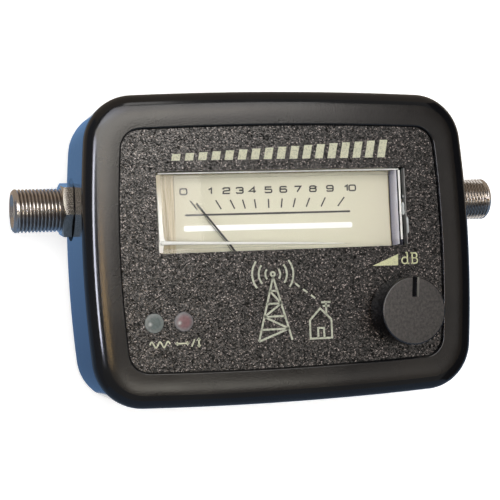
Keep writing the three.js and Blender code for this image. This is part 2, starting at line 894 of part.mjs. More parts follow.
// A band round the core with two webs that reach the yoke where the coil never comes.
function coreBracket() {
  const { coreRadius, bracketBand, bracketHeight, bracketWeb, yokeRadius, yokeWall } = movement;
  const middle = (yokeZ + yokeTopZ) / 2;
  const span = [middle - bracketHeight / 2, middle + bracketHeight / 2];
  const place = { count: sides.round };
  const bore = coreRadius + closeFit;
  const band = rod(bore + bracketBand, span, place);
  const reach = yokeRadius - yokeWall - closeFit;
  const web = block([-bracketWeb / 2, bracketWeb / 2], [-reach, reach], span);
  const hole = rod(bore, [span[0] - overrun, span[1] + overrun], place);
  return turnedOnPivot(cut(joined(band, web), hole), movement.bracketTurn);
}

function turnedOnPivot(body, turn) {
  const geometry = geometryOf(body).rotateZ(turn);
  return solid(geometry.translate(movement.x, movement.y, 0));
}

function coilTopZ() {
  return yokeTopZ + fit + movement.coilWire;
}

function coilBottomZ() {
  return yokeZ - fit - movement.coilWire;
}

function upperBridge() {
  const { x, y, yokeRadius, yokeWall, bridgeHeight, bridgeWidth, bridgePost } = movement;
  const postX = yokeRadius - yokeWall / 2;
  const bar = block(
    [x - postX - bridgePost, x + postX + bridgePost],
    [y - bridgeWidth / 2, y + bridgeWidth / 2],
    [bridgeZ, bridgeTopZ],
  );
  const posts = [-1, 1].map((side) => {
    const place = { x: x + side * postX, y, count: sides.tiny };
    return rod(bridgePost, [yokeTopZ, bridgeZ + bridgeHeight / 2], place);
  });
  const holeSpan = [bridgeZ - overrun, bridgeTopZ + overrun];
  const jewelHole = rod(movement.jewelRadius + closeFit, holeSpan, { x, y });
  return cut(joined(bar, ...posts), jewelHole);
}

function upperJewel() {
  const { x, y, jewelRadius } = movement;
  return rod(jewelRadius, [bridgeZ, bridgeTopZ], { x, y });
}

function lowerJewel() {
  const { x, y, jewelRadius, jewelHeight } = movement;
  return rod(jewelRadius, [trayTopZ, trayTopZ + jewelHeight], { x, y });
}

function upperSpringZ() {
  return coilTopZ() + movement.springLift - movement.springHeight;
}

function lowerSpringZ() {
  return coilBottomZ() - movement.springLift;
}

// A flat spiral band from the spindle's collet out to its anchor.
function hairspring(z, hand) {
  const { x, y, springRadius, springCore, springTurns, springBand, springHeight } = movement;
  const steps = springTurns * sides.small;
  const edge = (offset) =>
    Array.from({ length: steps + 1 }, (_, i) => {
      const angle = hand * (Math.PI / 2 + (i * 2 * Math.PI) / sides.small);
      const radius = springCore + ((springRadius - springCore) * i) / steps + offset;
      return [x + radius * Math.cos(angle), y + radius * Math.sin(angle)];
    });
  const band = [...edge(springBand / 2), ...edge(-springBand / 2).reverse()];
  return prism(shapeOf(band), [z, z + springHeight]);
}

function movingCoil() {
  const { x, y, coilInner, coilWire, coilWidth } = movement;
  const outer = coilInner + coilWire;
  const half = coilWidth / 2;
  const frame = block([x - outer, x + outer], [y - half, y + half], [coilBottomZ(), coilTopZ()]);
  const open = block(
    [x - coilInner, x + coilInner],
    [y - half - overrun, y + half + overrun],
    [coilBottomZ() + coilWire, coilTopZ() - coilWire],
  );
  return cut(frame, open);
}

function upperSpindle() {
  const { x, y, pivotRadius, pivotGap } = movement;
  const topZ = bridgeZ - pivotGap;
  return turned(
    [
      [0, coilTopZ()],
      [pivotRadius, coilTopZ()],
      [pivotRadius, topZ - pivotRadius],
      [0, topZ],
    ],
    { x, y, count: sides.tiny },
  );
}

function lowerSpindle() {
  const { x, y, pivotRadius, pivotGap, jewelHeight } = movement;
  const tipZ = trayTopZ + jewelHeight + pivotGap;
  return turned(
    [
      [0, tipZ],
      [pivotRadius, tipZ + pivotRadius],
      [pivotRadius, coilBottomZ()],
      [0, coilBottomZ()],
    ],
    { x, y, count: sides.tiny },
  );
}

function needleArmZ() {
  return coilTopZ() + movement.hubRise + (movement.hubHeight - needle.thickness) / 2;
}

// The needle, built pointing along +Y: a hub, an arm that cranks up over the dial, and a tail.
function pointerNeedle() {
  const { pivotRadius, hubRadius, hubHeight, hubRise } = movement;
  const { length, width, rootWidth, thickness, crankStart, crankEnd, tail, tailWidth } = needle;
  const hubZ = coilTopZ() + hubRise;
  const armZ = needleArmZ();
  const overDialZ = dialZ + needle.dialGap;
  const profile = shapeOf([
    [-tail, armZ],
    [crankStart, armZ],
    [crankEnd, overDialZ],
    [length, overDialZ],
    [length, overDialZ + thickness],
    [crankEnd, overDialZ + thickness],
    [crankStart, armZ + thickness],
    [-tail, armZ + thickness],
  ]);
  const half = Math.max(rootWidth, tailWidth) / 2;
  const strip = new THREE.ExtrudeGeometry(profile, { depth: 2 * half, bevelEnabled: false });
  strip.translate(0, 0, -half).rotateX(Math.PI / 2).rotateZ(Math.PI / 2);
  const plan = shapeOf([
    [-tailWidth / 2, -tail],
    [tailWidth / 2, -tail],
    [rootWidth / 2, 0],
    [width / 2, length],
    [-width / 2, length],
    [-rootWidth / 2, 0],
  ]);
  const planSpan = [armZ - overrun, overDialZ + thickness + overrun];
  const hub = rod(hubRadius, [hubZ, hubZ + hubHeight]);
  const holeSpan = [hubZ - overrun, hubZ + hubHeight + overrun];
  const hole = rod(pivotRadius + closeFit, holeSpan, { count: sides.tiny });
  const whole = joined(solid(strip).intersect(prism(plan, planSpan)), hub);
  return turnedOnPivot(cut(whole, hole), needle.restTurn);
}

// A small weight under the tail that balances the needle.
function needleWeight() {
  const topZ = needleArmZ();
  const place = { y: needle.weightRadius - needle.tail };
  const weight = rod(needle.weightRadius, [topZ - needle.weightHeight, topZ], place);
  return turnedOnPivot(weight, needle.restTurn);
}

function dialBulb() {
  const { radius, length, y } = dialLamp;
  const half = length / 2;
  const tip = radius / 2;
  const bulb = turned([
    [0, -half],
    [radius, -half],
    [radius, half - tip],
    [radius - tip, half],
    [0, half],
  ]);
  const geometry = geometryOf(bulb).rotateY(Math.PI / 2);
  return solid(geometry.translate(movement.x, y, cradleTopZ + fit + radius));
}

function meterWire({ x, y }) {
  return rod(meterLead.radius, [boardZ, trayTopZ + meter.spigotHeight], { x, y, count: sides.tiny });
}

// Control

function knobBody() {
  const { knobRadius, knobChamfer, knobWall, knobHollow, knobCap } = control;
  const z0 = faceZ + control.knobLift;
  const z1 = z0 + control.knobHeight;
  const bore = control.shaftRadius + closeFit;
  const body = turned(
    [
      [bore, z1 - knobCap],
      [bore, z0 + knobHollow],
      [knobRadius - knobWall, z0 + knobHollow],
      [knobRadius - knobWall, z0],
      [knobRadius, z0],
      [knobRadius, z1 - knobChamfer],
      [knobRadius - knobChamfer, z1],
      [0, z1],
      [0, z1 - knobCap],
      [bore, z1 - knobCap],
    ],
    { count: sides.dial },
  );
  const half = control.slotWidth / 2;
  const slot = block(
    [-half, half],
    [knobRadius - control.slotLength, knobRadius + overrun],
    [z1 - control.slotDepth, z1 + overrun],
  );
  const geometry = geometryOf(cut(body, slot)).rotateZ(control.restTurn);
  return solid(geometry.translate(controlX, controlY, 0));
}

function potShaft() {
  const { knobLift, knobHeight, knobCap, shaftRadius, shaftFlat, shaftTail } = control;
  const topZ = faceZ + knobLift + knobHeight - knobCap - fit;
  const place = { x: controlX, y: controlY, count: sides.round };
  const shaft = rod(shaftRadius, [plateUnderZ - shaftTail, topZ], place);
  const flat = block(
    [controlX - shaftRadius, controlX + shaftRadius],
    [controlY + shaftRadius - shaftFlat, controlY + shaftRadius + overrun],
    [faceZ + control.bushRise + fit, topZ + overrun],
  );
  return cut(shaft, flat);
}

function potBody() {
  const { bushRadius, bushRise, bodyRadius, bodyHeight, bodyEdge } = control;
  const bottomZ = plateUnderZ - bodyHeight;
  const bore = control.shaftRadius + closeFit;
  const boreZ = plateUnderZ - control.shaftTail - fit;
  const body = turned(
    [
      [0, bottomZ],
      [bodyRadius - bodyEdge, bottomZ],
      [bodyRadius, bottomZ + bodyEdge],
      [bodyRadius, plateUnderZ],
      [bushRadius, plateUnderZ],
      [bushRadius, faceZ + bushRise],
      [bore, faceZ + bushRise],
      [bore, boreZ],
      [0, boreZ],
    ],
    { x: controlX, y: controlY, count: sides.round },
  );
  const half = control.legWidth / 2;
  const legSpan = [boardZ, plateUnderZ - bodyHeight / 2];
  const legs = [-1, 0, 1].map((i) => {
    const legX = controlX + i * control.legPitch;
    const legY = controlY + control.legOffset;
    return block([legX - half, legX + half], [legY - half, legY + half], legSpan);
  });
  return joined(body, ...legs);
}

function potNut() {
  const { nutAcross, nutThickness, bushRadius } = control;
  const blank = prism(hexagon(nutAcross), [faceZ, faceZ + nutThickness]);
  const holeSpan = [faceZ - overrun, faceZ + nutThickness + overrun];
  const hole = rod(bushRadius + closeFit, holeSpan, { count: sides.round });
  return solid(geometryOf(cut(blank, hole)).translate(controlX, controlY, 0));
}

// Lamps

function lampSpot(x) {
  const radius = lamp.spotRadius - overlay.edgeGap / 2;
  return rod(radius, [plateTopZ, faceZ], { x, y: lampY, count: sides.round });
}

function indicatorLamp(x) {
  const { lensRadius, flangeRadius, flangeHeight, height, drop, leadPitch, leadWidth } = lamp;
  const y = lampY;
  const topZ = faceZ - drop;
  const baseZ = topZ - height;
  const domeZ = topZ - lensRadius;
  const dome = arcPoints(0, domeZ, lensRadius, 0, Math.PI / 2, sides.rim);
  const lens = turned(
    [
      [0, baseZ],
      [flangeRadius, baseZ],
      [flangeRadius, baseZ + flangeHeight],
      [lensRadius, baseZ + flangeHeight],
      ...dome.slice(0, -1),
      [0, topZ],
    ],
    { x, y },
  );
  const half = leadWidth / 2;
  const leads = [-1, 1].map((side) => {
    const leadX = x + (side * leadPitch) / 2;
    return block([leadX - half, leadX + half], [y - half, y + half], [boardZ, baseZ + flangeHeight / 2]);
  });
  return joined(lens, ...leads);
}

// Circuit board

function boardScrewPlaces() {
  const postX = boardHalfLength - board.postInset;
  return [-1, 1].map((side) => ({ x: side * postX, y: board.postY }));
}

function boardRestPlaces() {
  const restY = boardHalfHeight - board.restInset;
  return [-1, 1].map((side) => ({ x: 0, y: side * restY }));
}

function mainBoard() {
  const sheet = block(
    [-boardHalfLength, boardHalfLength],
    [-boardHalfHeight, boardHalfHeight],
    [boardUnderZ, boardZ],
  );
  const span = [boardUnderZ - overrun, boardZ + overrun];
  const holes = boardScrewPlaces().map((place) => rod(board.screwRadius + fit, span, place));
  const notches = screwCorners.map(([sx, sy]) => {
    const place = { x: sx * screwX, y: sy * screwY, count: sides.round };
    return rod(board.notchRadius, span, place);
  });
  return cut(sheet, ...holes, ...notches);
}

function boardScrew(place) {
  const { screwRadius, screwHeadRadius, screwHeadHeight, screwDepth } = board;
  return turned(
    [
      [0, boardUnderZ - screwDepth],
      [screwRadius, boardUnderZ - screwDepth + screwRadius],
      [screwRadius, boardZ],
      [screwHeadRadius, boardZ],
      [screwHeadRadius, boardZ + screwHeadHeight / 2],
      [screwHeadRadius / 2, boardZ + screwHeadHeight],
      [0, boardZ + screwHeadHeight],
    ],
    place,
  );
}

function buzzerCan() {
  const { y, radius, holeRadius, holeDepth } = buzzer;
  const x = boardHalfLength - buzzer.endGap;
  const topZ = trayZ - buzzer.topGap;
  const can = rod(radius, [boardZ, topZ], { x, y, count: sides.round });
  return cut(can, rod(holeRadius, [topZ - holeDepth, topZ + overrun], { x, y }));
}

// The corner between the meter's neck and its dial chamber, on one side, less a gap and a radius.
function neckCorner(side, { radius, gap }) {
  return {
    x: movement.x + side * (meter.neckHalfWidth + gap + radius),
    y: meter.shoulderY - gap - radius,
  };
}

// A can with its rolled neck near the bottom and a pressure vent scored across the top.
function capacitor(side, form) {
  const { radius, height } = form;
  const { x, y } = neckCorner(side, form);
  const { bead, beadShare, rollShare, ventWidth, ventDepth } = capacitorForm;
  const topZ = boardZ + height;
  const neckZ = boardZ + height * beadShare;
  const roll = height * rollShare;
  const can = turned(
    [
      [0, boardZ],
      [radius - bead, boardZ],
      [radius, boardZ + bead],
      [radius, neckZ - roll / 2],
      [radius - bead, neckZ],
      [radius, neckZ + roll / 2],
      [radius, topZ - bead],
      [radius - bead, topZ],
      [0, topZ],
    ],
    { x, y },
  );
  const half = ventWidth / 2;
  const span = [topZ - ventDepth, topZ + overrun];
  const reach = radius - 2 * bead;
  return cut(
    can,
    block([x - half, x + half], [y - reach, y + reach], span),
    block([x - reach, x + reach], [y - half, y + half], span),
  );
}

function dipChip({ x, y }) {
  const z0 = boardZ + chip.standoff;
  const body = block(
    [x - chip.length / 2, x + chip.length / 2],
    [y - chip.width / 2, y + chip.width / 2],
    [z0, z0 + chip.height],
  );
  const legs = Array.from({ length: chip.legs }, (_, i) => {
    const legX = x + (i - (chip.legs - 1) / 2) * chip.legPitch;
    return [-1, 1].map((side) => chipLeg(legX, y, side));
  });
  return joined(body, ...legs.flat());
}

// A leg that comes out of the chip's side at half height and turns down to the board.
function chipLeg(x, y, side) {
  const half = chip.legWidth / 2;
  const levelZ = boardZ + chip.standoff + chip.height * chip.legLevelShare;
  const shoulderY = y + (side * chip.width) / 2;
  const outY = shoulderY + side * chip.legReach;
  const across = [x - half, x + half];
  const reach = [Math.min(shoulderY, outY) - half, Math.max(shoulderY, outY) + half];
  return joined(
    block(across, reach, [levelZ - half, levelZ + half]),
    block(across, [outY - half, outY + half], [boardZ, levelZ + half]),
  );
}

function regulatorCase() {
  const { y, radius, flatShare } = regulator;
  const x = movement.x;
  const topZ = trayZ - regulator.topGap;
  const round = rod(radius, [boardZ, topZ], { x, y });
  const flat = block(
    [x - radius - overrun, x + radius + overrun],
    [y + radius * flatShare, y + radius + overrun],
    [boardZ - overrun, topZ + overrun],
  );
  return cut(round, flat);
}

function chokeDrum() {
  const { radius, waistRadius, flange } = choke;
  const x = choke.endGap - boardHalfLength;
  const y = boardHalfHeight - choke.sideGap;
  const topZ = trayZ - choke.topGap;
  return turned(
    [
      [0, boardZ],
      [radius, boardZ],
      [radius, boardZ + flange],
      [waistRadius, boardZ + flange],
      [waistRadius, topZ - flange],
      [radius, topZ - flange],
      [radius, topZ],
      [0, topZ],
    ],
    { x, y },
  );
}

// Assembly

const instrument = new THREE.Group();

function add(parent, name, body, finish) {
  const mesh = new THREE.Mesh(geometryOf(body), new THREE.MeshStandardMaterial(finishes[finish]));
  mesh.name = name;
  parent.add(mesh);
}

function group(parent = instrument) {
  const made = new THREE.Group();
  parent.add(made);
  return made;
}

const shells = group();
add(shells, "front_shell", frontShell(), "satinBlack");
add(shells, "rear_shell", rearShell(), "glossBlack");
add(shells, "panel_overlay", panelOverlay(), "grainedPrint");
screwCorners.forEach((corner, i) => add(shells, `case_screw_${i + 1}`, caseScrew(corner), "steel"));

for (const [name, { side, nutTurn }] of Object.entries(socketSides)) {
  const set = group();
  add(set, name, socketBarrel(side), "nickel");
  add(set, `${name}_nut`, socketNut(side, nutTurn), "nickel");
  add(set, `${name}_washer`, socketWasher(side), "nickel");
  add(set, `${name}_insulator`, socketInsulator(side), "insulator");
  add(set, `${name}_contact`, socketContact(side), "brass");
}

const meterUnit = group();
add(meterUnit, "meter_cover", meterCover(), "clear");
add(meterUnit, "meter_base", meterBase(), "paleTray");
add(meterUnit, "scale_plate", scalePlate(), "cream");
add(meterUnit, "dial_lamp", dialBulb(), "glassBulb");
add(meterUnit, "meter_yoke", meterYoke(), "steel");
add(meterUnit, "magnet_core", coreMagnet(), "ferrite");
add(meterUnit, "core_bracket", coreBracket(), "brass");
add(meterUnit, "upper_bridge", upperBridge(), "brass");
add(meterUnit, "upper_jewel", upperJewel(), "redLens");
add(meterUnit, "lower_jewel", lowerJewel(), "redLens");
add(meterUnit, "upper_hairspring", hairspring(upperSpringZ(), 1), "brass");
add(meterUnit, "lower_hairspring", hairspring(lowerSpringZ(), -1), "brass");
leadPlaces().forEach((place, i) => add(meterUnit, `meter_lead_${i + 1}`, meterWire(place), "copper"));

const pointerUnit = group(meterUnit);
add(pointerUnit, "pointer", pointerNeedle(), "needleBlack");
add(pointerUnit, "pointer_weight", needleWeight(), "brass");
add(pointerUnit, "moving_coil", movingCoil(), "copper");
add(pointerUnit, "upper_spindle", upperSpindle(), "steel");
add(pointerUnit, "lower_spindle", lowerSpindle(), "steel");

const controlUnit = group();
add(controlUnit, "knob", knobBody(), "satinBlack");
add(controlUnit, "pot_shaft", potShaft(), "steel");
add(controlUnit, "pot_body", potBody(), "partBlack");
add(controlUnit, "pot_nut", potNut(), "steel");

const lampUnit = group();
add(lampUnit, "green_lamp", indicatorLamp(greenLampX), "greenLens");
add(lampUnit, "red_lamp", indicatorLamp(redLampX), "redLens");
add(lampUnit, "green_lamp_spot", lampSpot(greenLampX), "smokedSpot");
add(lampUnit, "red_lamp_spot", lampSpot(redLampX), "smokedSpot");

const boardUnit = group();
add(boardUnit, "main_board", mainBoard(), "boardGreen");
boardScrewPlaces().forEach((place, i) => {
  add(boardUnit, `board_screw_${i + 1}`, boardScrew(place), "steel");
});
add(boardUnit, "buzzer", buzzerCan(), "partBlack");
add(boardUnit, "capacitor_1", capacitor(-1, largeCapacitor), "sleeveBlue");
add(boardUnit, "capacitor_2", capacitor(1, smallCapacitor), "sleeveBlue");
add(boardUnit, "signal_chip", dipChip({ x: 0, y: chip.y }), "partBlack");
add(boardUnit, "tone_chip", dipChip({ x: -chip.pitch, y: chip.y }), "partBlack");
add(boardUnit, "regulator", regulatorCase(), "partBlack");
add(boardUnit, "choke", chokeDrum(), "ferrite");

export default instrument;
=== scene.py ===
"""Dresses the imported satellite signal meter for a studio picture."""

import math

import bmesh
import bpy
from mathutils import Matrix, Vector


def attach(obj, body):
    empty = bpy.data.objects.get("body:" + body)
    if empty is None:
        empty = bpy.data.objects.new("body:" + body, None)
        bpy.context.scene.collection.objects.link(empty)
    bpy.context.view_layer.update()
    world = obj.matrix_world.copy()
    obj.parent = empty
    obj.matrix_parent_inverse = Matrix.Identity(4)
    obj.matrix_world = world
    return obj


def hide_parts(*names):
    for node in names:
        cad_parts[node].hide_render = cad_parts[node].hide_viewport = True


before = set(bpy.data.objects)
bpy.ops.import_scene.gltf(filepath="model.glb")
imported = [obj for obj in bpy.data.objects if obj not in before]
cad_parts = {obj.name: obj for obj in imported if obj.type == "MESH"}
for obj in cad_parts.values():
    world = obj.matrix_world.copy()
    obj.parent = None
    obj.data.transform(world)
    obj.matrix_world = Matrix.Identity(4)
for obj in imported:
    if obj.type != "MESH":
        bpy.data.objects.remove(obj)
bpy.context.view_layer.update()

MM = 0.001


# Sizes in millimetres that the solids also have
WIDTH, HEIGHT, DEPTH = 88.6, 67.8, 30.0
SIDE_BOW, END_BOW, CORNER = 2.1, 1.15, 10.8
WALL, DRAFT, BACK_RADIUS = 2.0, math.radians(1.4), 6.5
RIM_HEIGHT, BEZEL, BEZEL_EDGE, SEAM_CHAMFER = 3.0, 7.55, 0.35, 0.2
SEAM_Z = DEPTH - RIM_HEIGHT
FACE_Z, PLATE_TOP_Z, PLATE_UNDER_Z, DIAL_Z = 29.2, 28.7, 26.7, 24.1
SHEET_GAP, RECESS_CORNER = 0.15, 4.5
WINDOW = {"x0": -28.4, "y0": -0.76, "x1": 28.9, "y1": 16.68, "radius": 0.5}
SOCKET_Y, SOCKET_Z, REACH, MOUTH = 10.2, 11.9, 56.6, 0.8
SEAT_X, SEAT_RADIUS, INNER_X, BORE = 43.3, 6.9, 37.1, 3.6
THREAD, PITCH, THREAD_DEPTH = 4.7625, 0.79375, 0.42
NUT_ACROSS, NUT_HEIGHT = 11.0, 2.9
KNOB = {"x": 26.1, "y": -15.3, "radius": 7.4, "bottom": 29.7, "top": 36.7, "turn": math.radians(-5)}
LAMPS = {"green": -30.1, "red": -23.65}
LAMP_Y = -15.3
SCREW = {"x": 32.5, "y": 22.45, "z": 0.6, "radius": 2.7, "height": 2.0}


# Mesh helpers, all in millimetres

def add_object(name, data):
    obj = bpy.data.objects.new(name, data)
    bpy.context.collection.objects.link(obj)
    return obj


def smooth(obj, sharp=30):
    obj.data.shade_smooth()
    obj.data.set_sharp_from_angle(angle=math.radians(sharp))
    return obj


def settle(bm, name, mesh, sharp=30):
    """Turns the faces outwards and makes the object."""
    bmesh.ops.recalc_face_normals(bm, faces=bm.faces)
    bm.to_mesh(mesh)
    bm.free()
    return smooth(add_object(name, mesh), sharp)


def piece(name, vertices, faces, sharp=30):
    mesh = bpy.data.meshes.new(name)
    mesh.from_pydata([(x * MM, y * MM, z * MM) for x, y, z in vertices], [], faces)
    mesh.validate()
    bm = bmesh.new()
    bm.from_mesh(mesh)
    return settle(bm, name, mesh, sharp)


def rounded(points, steps=5):
    """A polyline of (a, b, radius) with its corners rounded."""
    line = []
    last = len(points) - 1
    for i, (a, b, radius) in enumerate(points):
        if radius == 0 or i in (0, last):
            line.append((a, b))
            continue
        here = Vector((a, b))
        back = (Vector(points[i - 1][:2]) - here).normalized()
        on = (Vector(points[i + 1][:2]) - here).normalized()
        half = back.angle(on) / 2
        reach = radius / math.tan(half)
        centre = here + (back + on).normalized() * (radius / math.sin(half))
        start = here + back * reach - centre
        turn = start.angle_signed(here + on * reach - centre)
        for k in range(steps + 1):
            angle = -turn * k / steps
            spot = centre + Matrix.Rotation(angle, 2) @ start
            line.append((spot.x, spot.y))
    return line


def arc(cx, cy, radius, start, end, steps):
    turns = [start + (end - start) * k / steps for k in range(steps + 1)]
    return [(cx + radius * math.cos(t), cy + radius * math.sin(t)) for t in turns]


def circle(cx, cy, radius, count=48):
    return arc(cx, cy, radius, 0, 2 * math.pi, count)[:-1]


def round_rectangle(x0, y0, x1, y1, radius, steps=6):
    quarter = math.pi / 2
    return (
        arc(x1 - radius, y0 + radius, radius, -quarter, 0, steps)
        + arc(x1 - radius, y1 - radius, radius, 0, quarter, steps)
        + arc(x0 + radius, y1 - radius, radius, quarter, 2 * quarter, steps)
        + arc(x0 + radius, y0 + radius, radius, 2 * quarter, 3 * quarter, steps)
    )


def circles_meet(ax, ar, by, br):
    """Where a circle about (ax, 0) meets one about (0, by) in the first quadrant."""
    apart = math.hypot(ax, by)
    along = (ar * ar - br * br + apart * apart) / (2 * apart)
    across = math.sqrt(ar * ar - along * along)
    x, y = ax - along * ax / apart, along * by / apart
    for side in (1, -1):
        spot = (x + side * across * by / apart, y + side * across * ax / apart)
        if spot[0] > 0 and spot[1] > 0:
            return spot
    raise ValueError("the housing's outline doesn't close")


def outline(inset, round_to=None, side=10, corner=14, end=12):
    """The housing's outline, moved inwards by inset. round_to is a corner radius of its own."""
    radius = CORNER - inset if round_to is None else round_to
    half_w, half_h = WIDTH / 2, HEIGHT / 2
    side_r = ((half_h - END_BOW) ** 2 + SIDE_BOW ** 2) / (2 * SIDE_BOW)
    end_r = ((half_w - SIDE_BOW) ** 2 + END_BOW ** 2) / (2 * END_BOW)
    side_c, end_c = half_w - side_r, half_h - end_r
    cx, cy = circles_meet(side_c, side_r - inset - radius, end_c, end_r - inset - radius)
    side_end = math.atan2(cy, cx - side_c)
    end_start = math.atan2(cy - end_c, cx)
    quadrant = (
        arc(side_c, 0, side_r - inset, 0, side_end, side)
        + arc(cx, cy, radius, side_end, end_start, corner)[1:]
        + arc(0, end_c, end_r - inset, end_start, math.pi / 2, end)[1:]
    )
    upper_left = [(-x, y) for x, y in reversed(quadrant[:-1])]
    lower_left = [(-x, -y) for x, y in quadrant[1:]]
    lower_right = [(x, -y) for x, y in reversed(quadrant[1:-1])]
    return quadrant + upper_left + lower_left + lower_right


def draft_inset(z):
    return (SEAM_Z - z) * math.tan(DRAFT)


def ring_faces(rows, count, closed=False):
    faces = []
    pairs = rows if closed else rows - 1
    for row in range(pairs):
        low, high = row * count, ((row + 1) % rows) * count
        for i in range(count):
            on = (i + 1) % count
            faces.append((low + i, low + on, high + on, high + i))
    return faces


def frame_corner(inset):
    """The front frame's corner radius: the housing's at the rim, and the recess's at its edge."""
    start, end = 3.7, BEZEL - BEZEL_EDGE
    share = min(1.0, max(0.0, (inset - start) / (end - start)))
    recess = RECESS_CORNER + BEZEL - inset
    return (CORNER - inset) * (1 - share) + recess * share


def loft(name, rings, closed, sharp=30):
    """A body through rings of equal count, closed on itself or with a face at both ends."""
    count = len(rings[0])
    faces = ring_faces(len(rings), count, closed)
    if not closed:
        faces += [tuple(range(count)), tuple((len(rings) - 1) * count + i for i in range(count))]
    return piece(name, [spot for ring in rings for spot in ring], faces, sharp)


def slab(name, outer, z0, z1, holes=(), edge=0.0):
    """A flat body with holes, whose edges may be rounded by edge."""
    bm = bmesh.new()
    levels = []
    for z in (z0, z1):
        edges, rings = [], []
        for loop in (outer, *holes):
            ring = [bm.verts.new((x * MM, y * MM, z * MM)) for x, y in loop]
            edges += [bm.edges.new((ring[i - 1], ring[i])) for i in range(len(ring))]
            rings.append(ring)
        bmesh.ops.triangle_fill(bm, use_beauty=True, edges=edges)
        levels.append(rings)
    for low, high in zip(*levels):
        for i in range(len(low)):
            bm.faces.new((low[i - 1], low[i], high[i], high[i - 1]))
    obj = settle(bm, name, bpy.data.meshes.new(name))
    if edge:
        round_edges(obj, edge)
    return obj


def round_edges(obj, width, segments=3, angle=40):
    bevel = obj.modifiers.new("edges", "BEVEL")
    bevel.width = width * MM
    bevel.segments = segments
    bevel.limit_method = "ANGLE"
    bevel.angle_limit = math.radians(angle)
    bevel.harden_normals = True


def lathe(name, profile, count=96, shape=None, sharp=30):
    """A profile of (radius, z) turned about Z, closed on itself if both ends are off the axis.

    shape(radius, z, angle) may change the radius.
    """
    vertices, rows = [], []
    for radius, z in profile:
        if radius < 1e-6:
            rows.append([len(vertices)])
            vertices.append((0, 0, z))
            continue
        row = []
        for i in range(count):
            angle = 2 * math.pi * i / count
            r = shape(radius, z, angle) if shape else radius
            row.append(len(vertices))
            vertices.append((r * math.cos(angle), r * math.sin(angle), z))
        rows.append(row)
    faces = []
    pairs = list(zip(rows, rows[1:]))
    if len(rows[0]) > 1 and len(rows[-1]) > 1:
        pairs.append((rows[-1], rows[0]))
    for low, high in pairs:
        for i in range(count):
            on = (i + 1) % count
            corners = [low[i % len(low)], low[on % len(low)], high[on % len(high)], high[i % len(high)]]
            face = tuple(dict.fromkeys(corners))
            if len(face) > 2:
                faces.append(face)
    return piece(name, vertices, faces, sharp)


def transform(obj, matrix):
    obj.data.transform(matrix)
    obj.data.update()
    return obj


def shift(x, y, z):
    return Matrix.Translation((x * MM, y * MM, z * MM))


def to_side(side):
    """Lays a body that was built along Z along the socket's axis, towards one side."""
    return shift(0, SOCKET_Y, SOCKET_Z) @ Matrix.Rotation(side * math.pi / 2, 4, "Y")


def carve(obj, cutters):
    for cutter in cutters:
        boolean = obj.modifiers.new("cut", "BOOLEAN")
        boolean.operation = "DIFFERENCE"
        boolean.solver = "EXACT"
        boolean.object = cutter
    graph = bpy.context.evaluated_depsgraph_get()
    mesh = bpy.data.meshes.new_from_object(obj.evaluated_get(graph))
    obj.modifiers.clear()
    obj.data = mesh
    for cutter in cutters:
        bpy.data.objects.remove(cutter)
    return smooth(obj)


def ribbon(points, width, closed=False):
    """Quads along a line of points, as (left, right) corners at each point."""
    count = len(points)
    sides = []
    for i in range(count):
        here = Vector(points[i])
        before = Vector(points[i - 1]) if closed or i > 0 else None
        after = Vector(points[(i + 1) % count]) if closed or i < count - 1 else None
        into = (here - before).normalized() if before is not None else (after - here).normalized()
        out = (after - here).normalized() if after is not None else into
        normal_in, normal_out = Vector((-into.y, into.x)), Vector((-out.y, out.x))
        mitre = (normal_in + normal_out).normalized()
        reach = width / 2 / max(0.4, mitre.dot(normal_in))
        sides.append((here + mitre * reach, here - mitre * reach))
    return sides


def open_lines(paths):
    return [(points, False) for points in paths]


def strokes(name, lines, width, z0, z1):
    """Raised print made of ribbons. Each line is (points, closed)."""
    vertices, faces = [], []
    for points, closed in lines:
        sides = ribbon(points, width, closed)
        base = len(vertices)
        for left, right in sides:
            vertices += [(*left, z1), (*right, z1), (*left, z0), (*right, z0)]
        count = len(sides)
        for i in range(count if closed else count - 1):
            a, b = base + 4 * i, base + 4 * ((i + 1) % count)
            faces += [(a, a + 1, b + 1, b), (a + 2, b + 2, b + 3, a + 3)]
            faces += [(a, b, b + 2, a + 2), (a + 1, a + 3, b + 3, b + 1)]
        if not closed:
            first, last = base, base + 4 * (count - 1)
            faces += [(first, first + 2, first + 3, first + 1), (last, last + 1, last + 3, last + 2)]
    return piece(name, vertices, faces, 10)


def polygons(name, loops, z0, z1):
    """Raised print made of simple filled shapes."""
    vertices, faces = [], []
    for loop in loops:
        base, count = len(vertices), len(loop)
        vertices += [(x, y, z1) for x, y in loop] + [(x, y, z0) for x, y in loop]
        faces.append(tuple(base + i for i in range(count)))
        faces.append(tuple(base + count + i for i in reversed(range(count))))
        for i in range(count):
            on = (i + 1) % count
            faces.append((base + i, base + count + i, base + count + on, base + on))
    return piece(name, vertices, faces, 10)


# Material helpers. Scales are to a metre

GRAIN = 4500.0


def find(tree, kind):
    return next(n for n in tree.nodes if n.type == kind)


def blank(name):
    material = bpy.data.materials.new(name)
    material.use_nodes = True
    return material, material.node_tree, find(material.node_tree, "BSDF_PRINCIPLED")


def feed(target, name, socket):
    """Links an output socket to a node's input."""
    target.id_data.links.new(socket, target.inputs[name])


def preset(target, **values):
    """Sets a node's properties and inputs."""
    for key, value in values.items():
        if key in target.bl_rna.properties:
            setattr(target, key, value)
        else:
            target.inputs[key.replace("_", " ")].default_value = value


def node(tree, kind, links=None, **values):
    """A node with its properties and inputs set, and links of input name to output socket."""
    made = tree.nodes.new("ShaderNode" + kind)
    preset(made, **values)
    for key, socket in (links or {}).items():
        feed(made, key, socket)
    return made


def where(tree, stretch=(1, 1, 1)):
    place = node(tree, "TexCoord")
    mapped = node(tree, "Mapping", {"Vector": place.outputs["Object"]}, Scale=stretch)
    return mapped.outputs["Vector"]


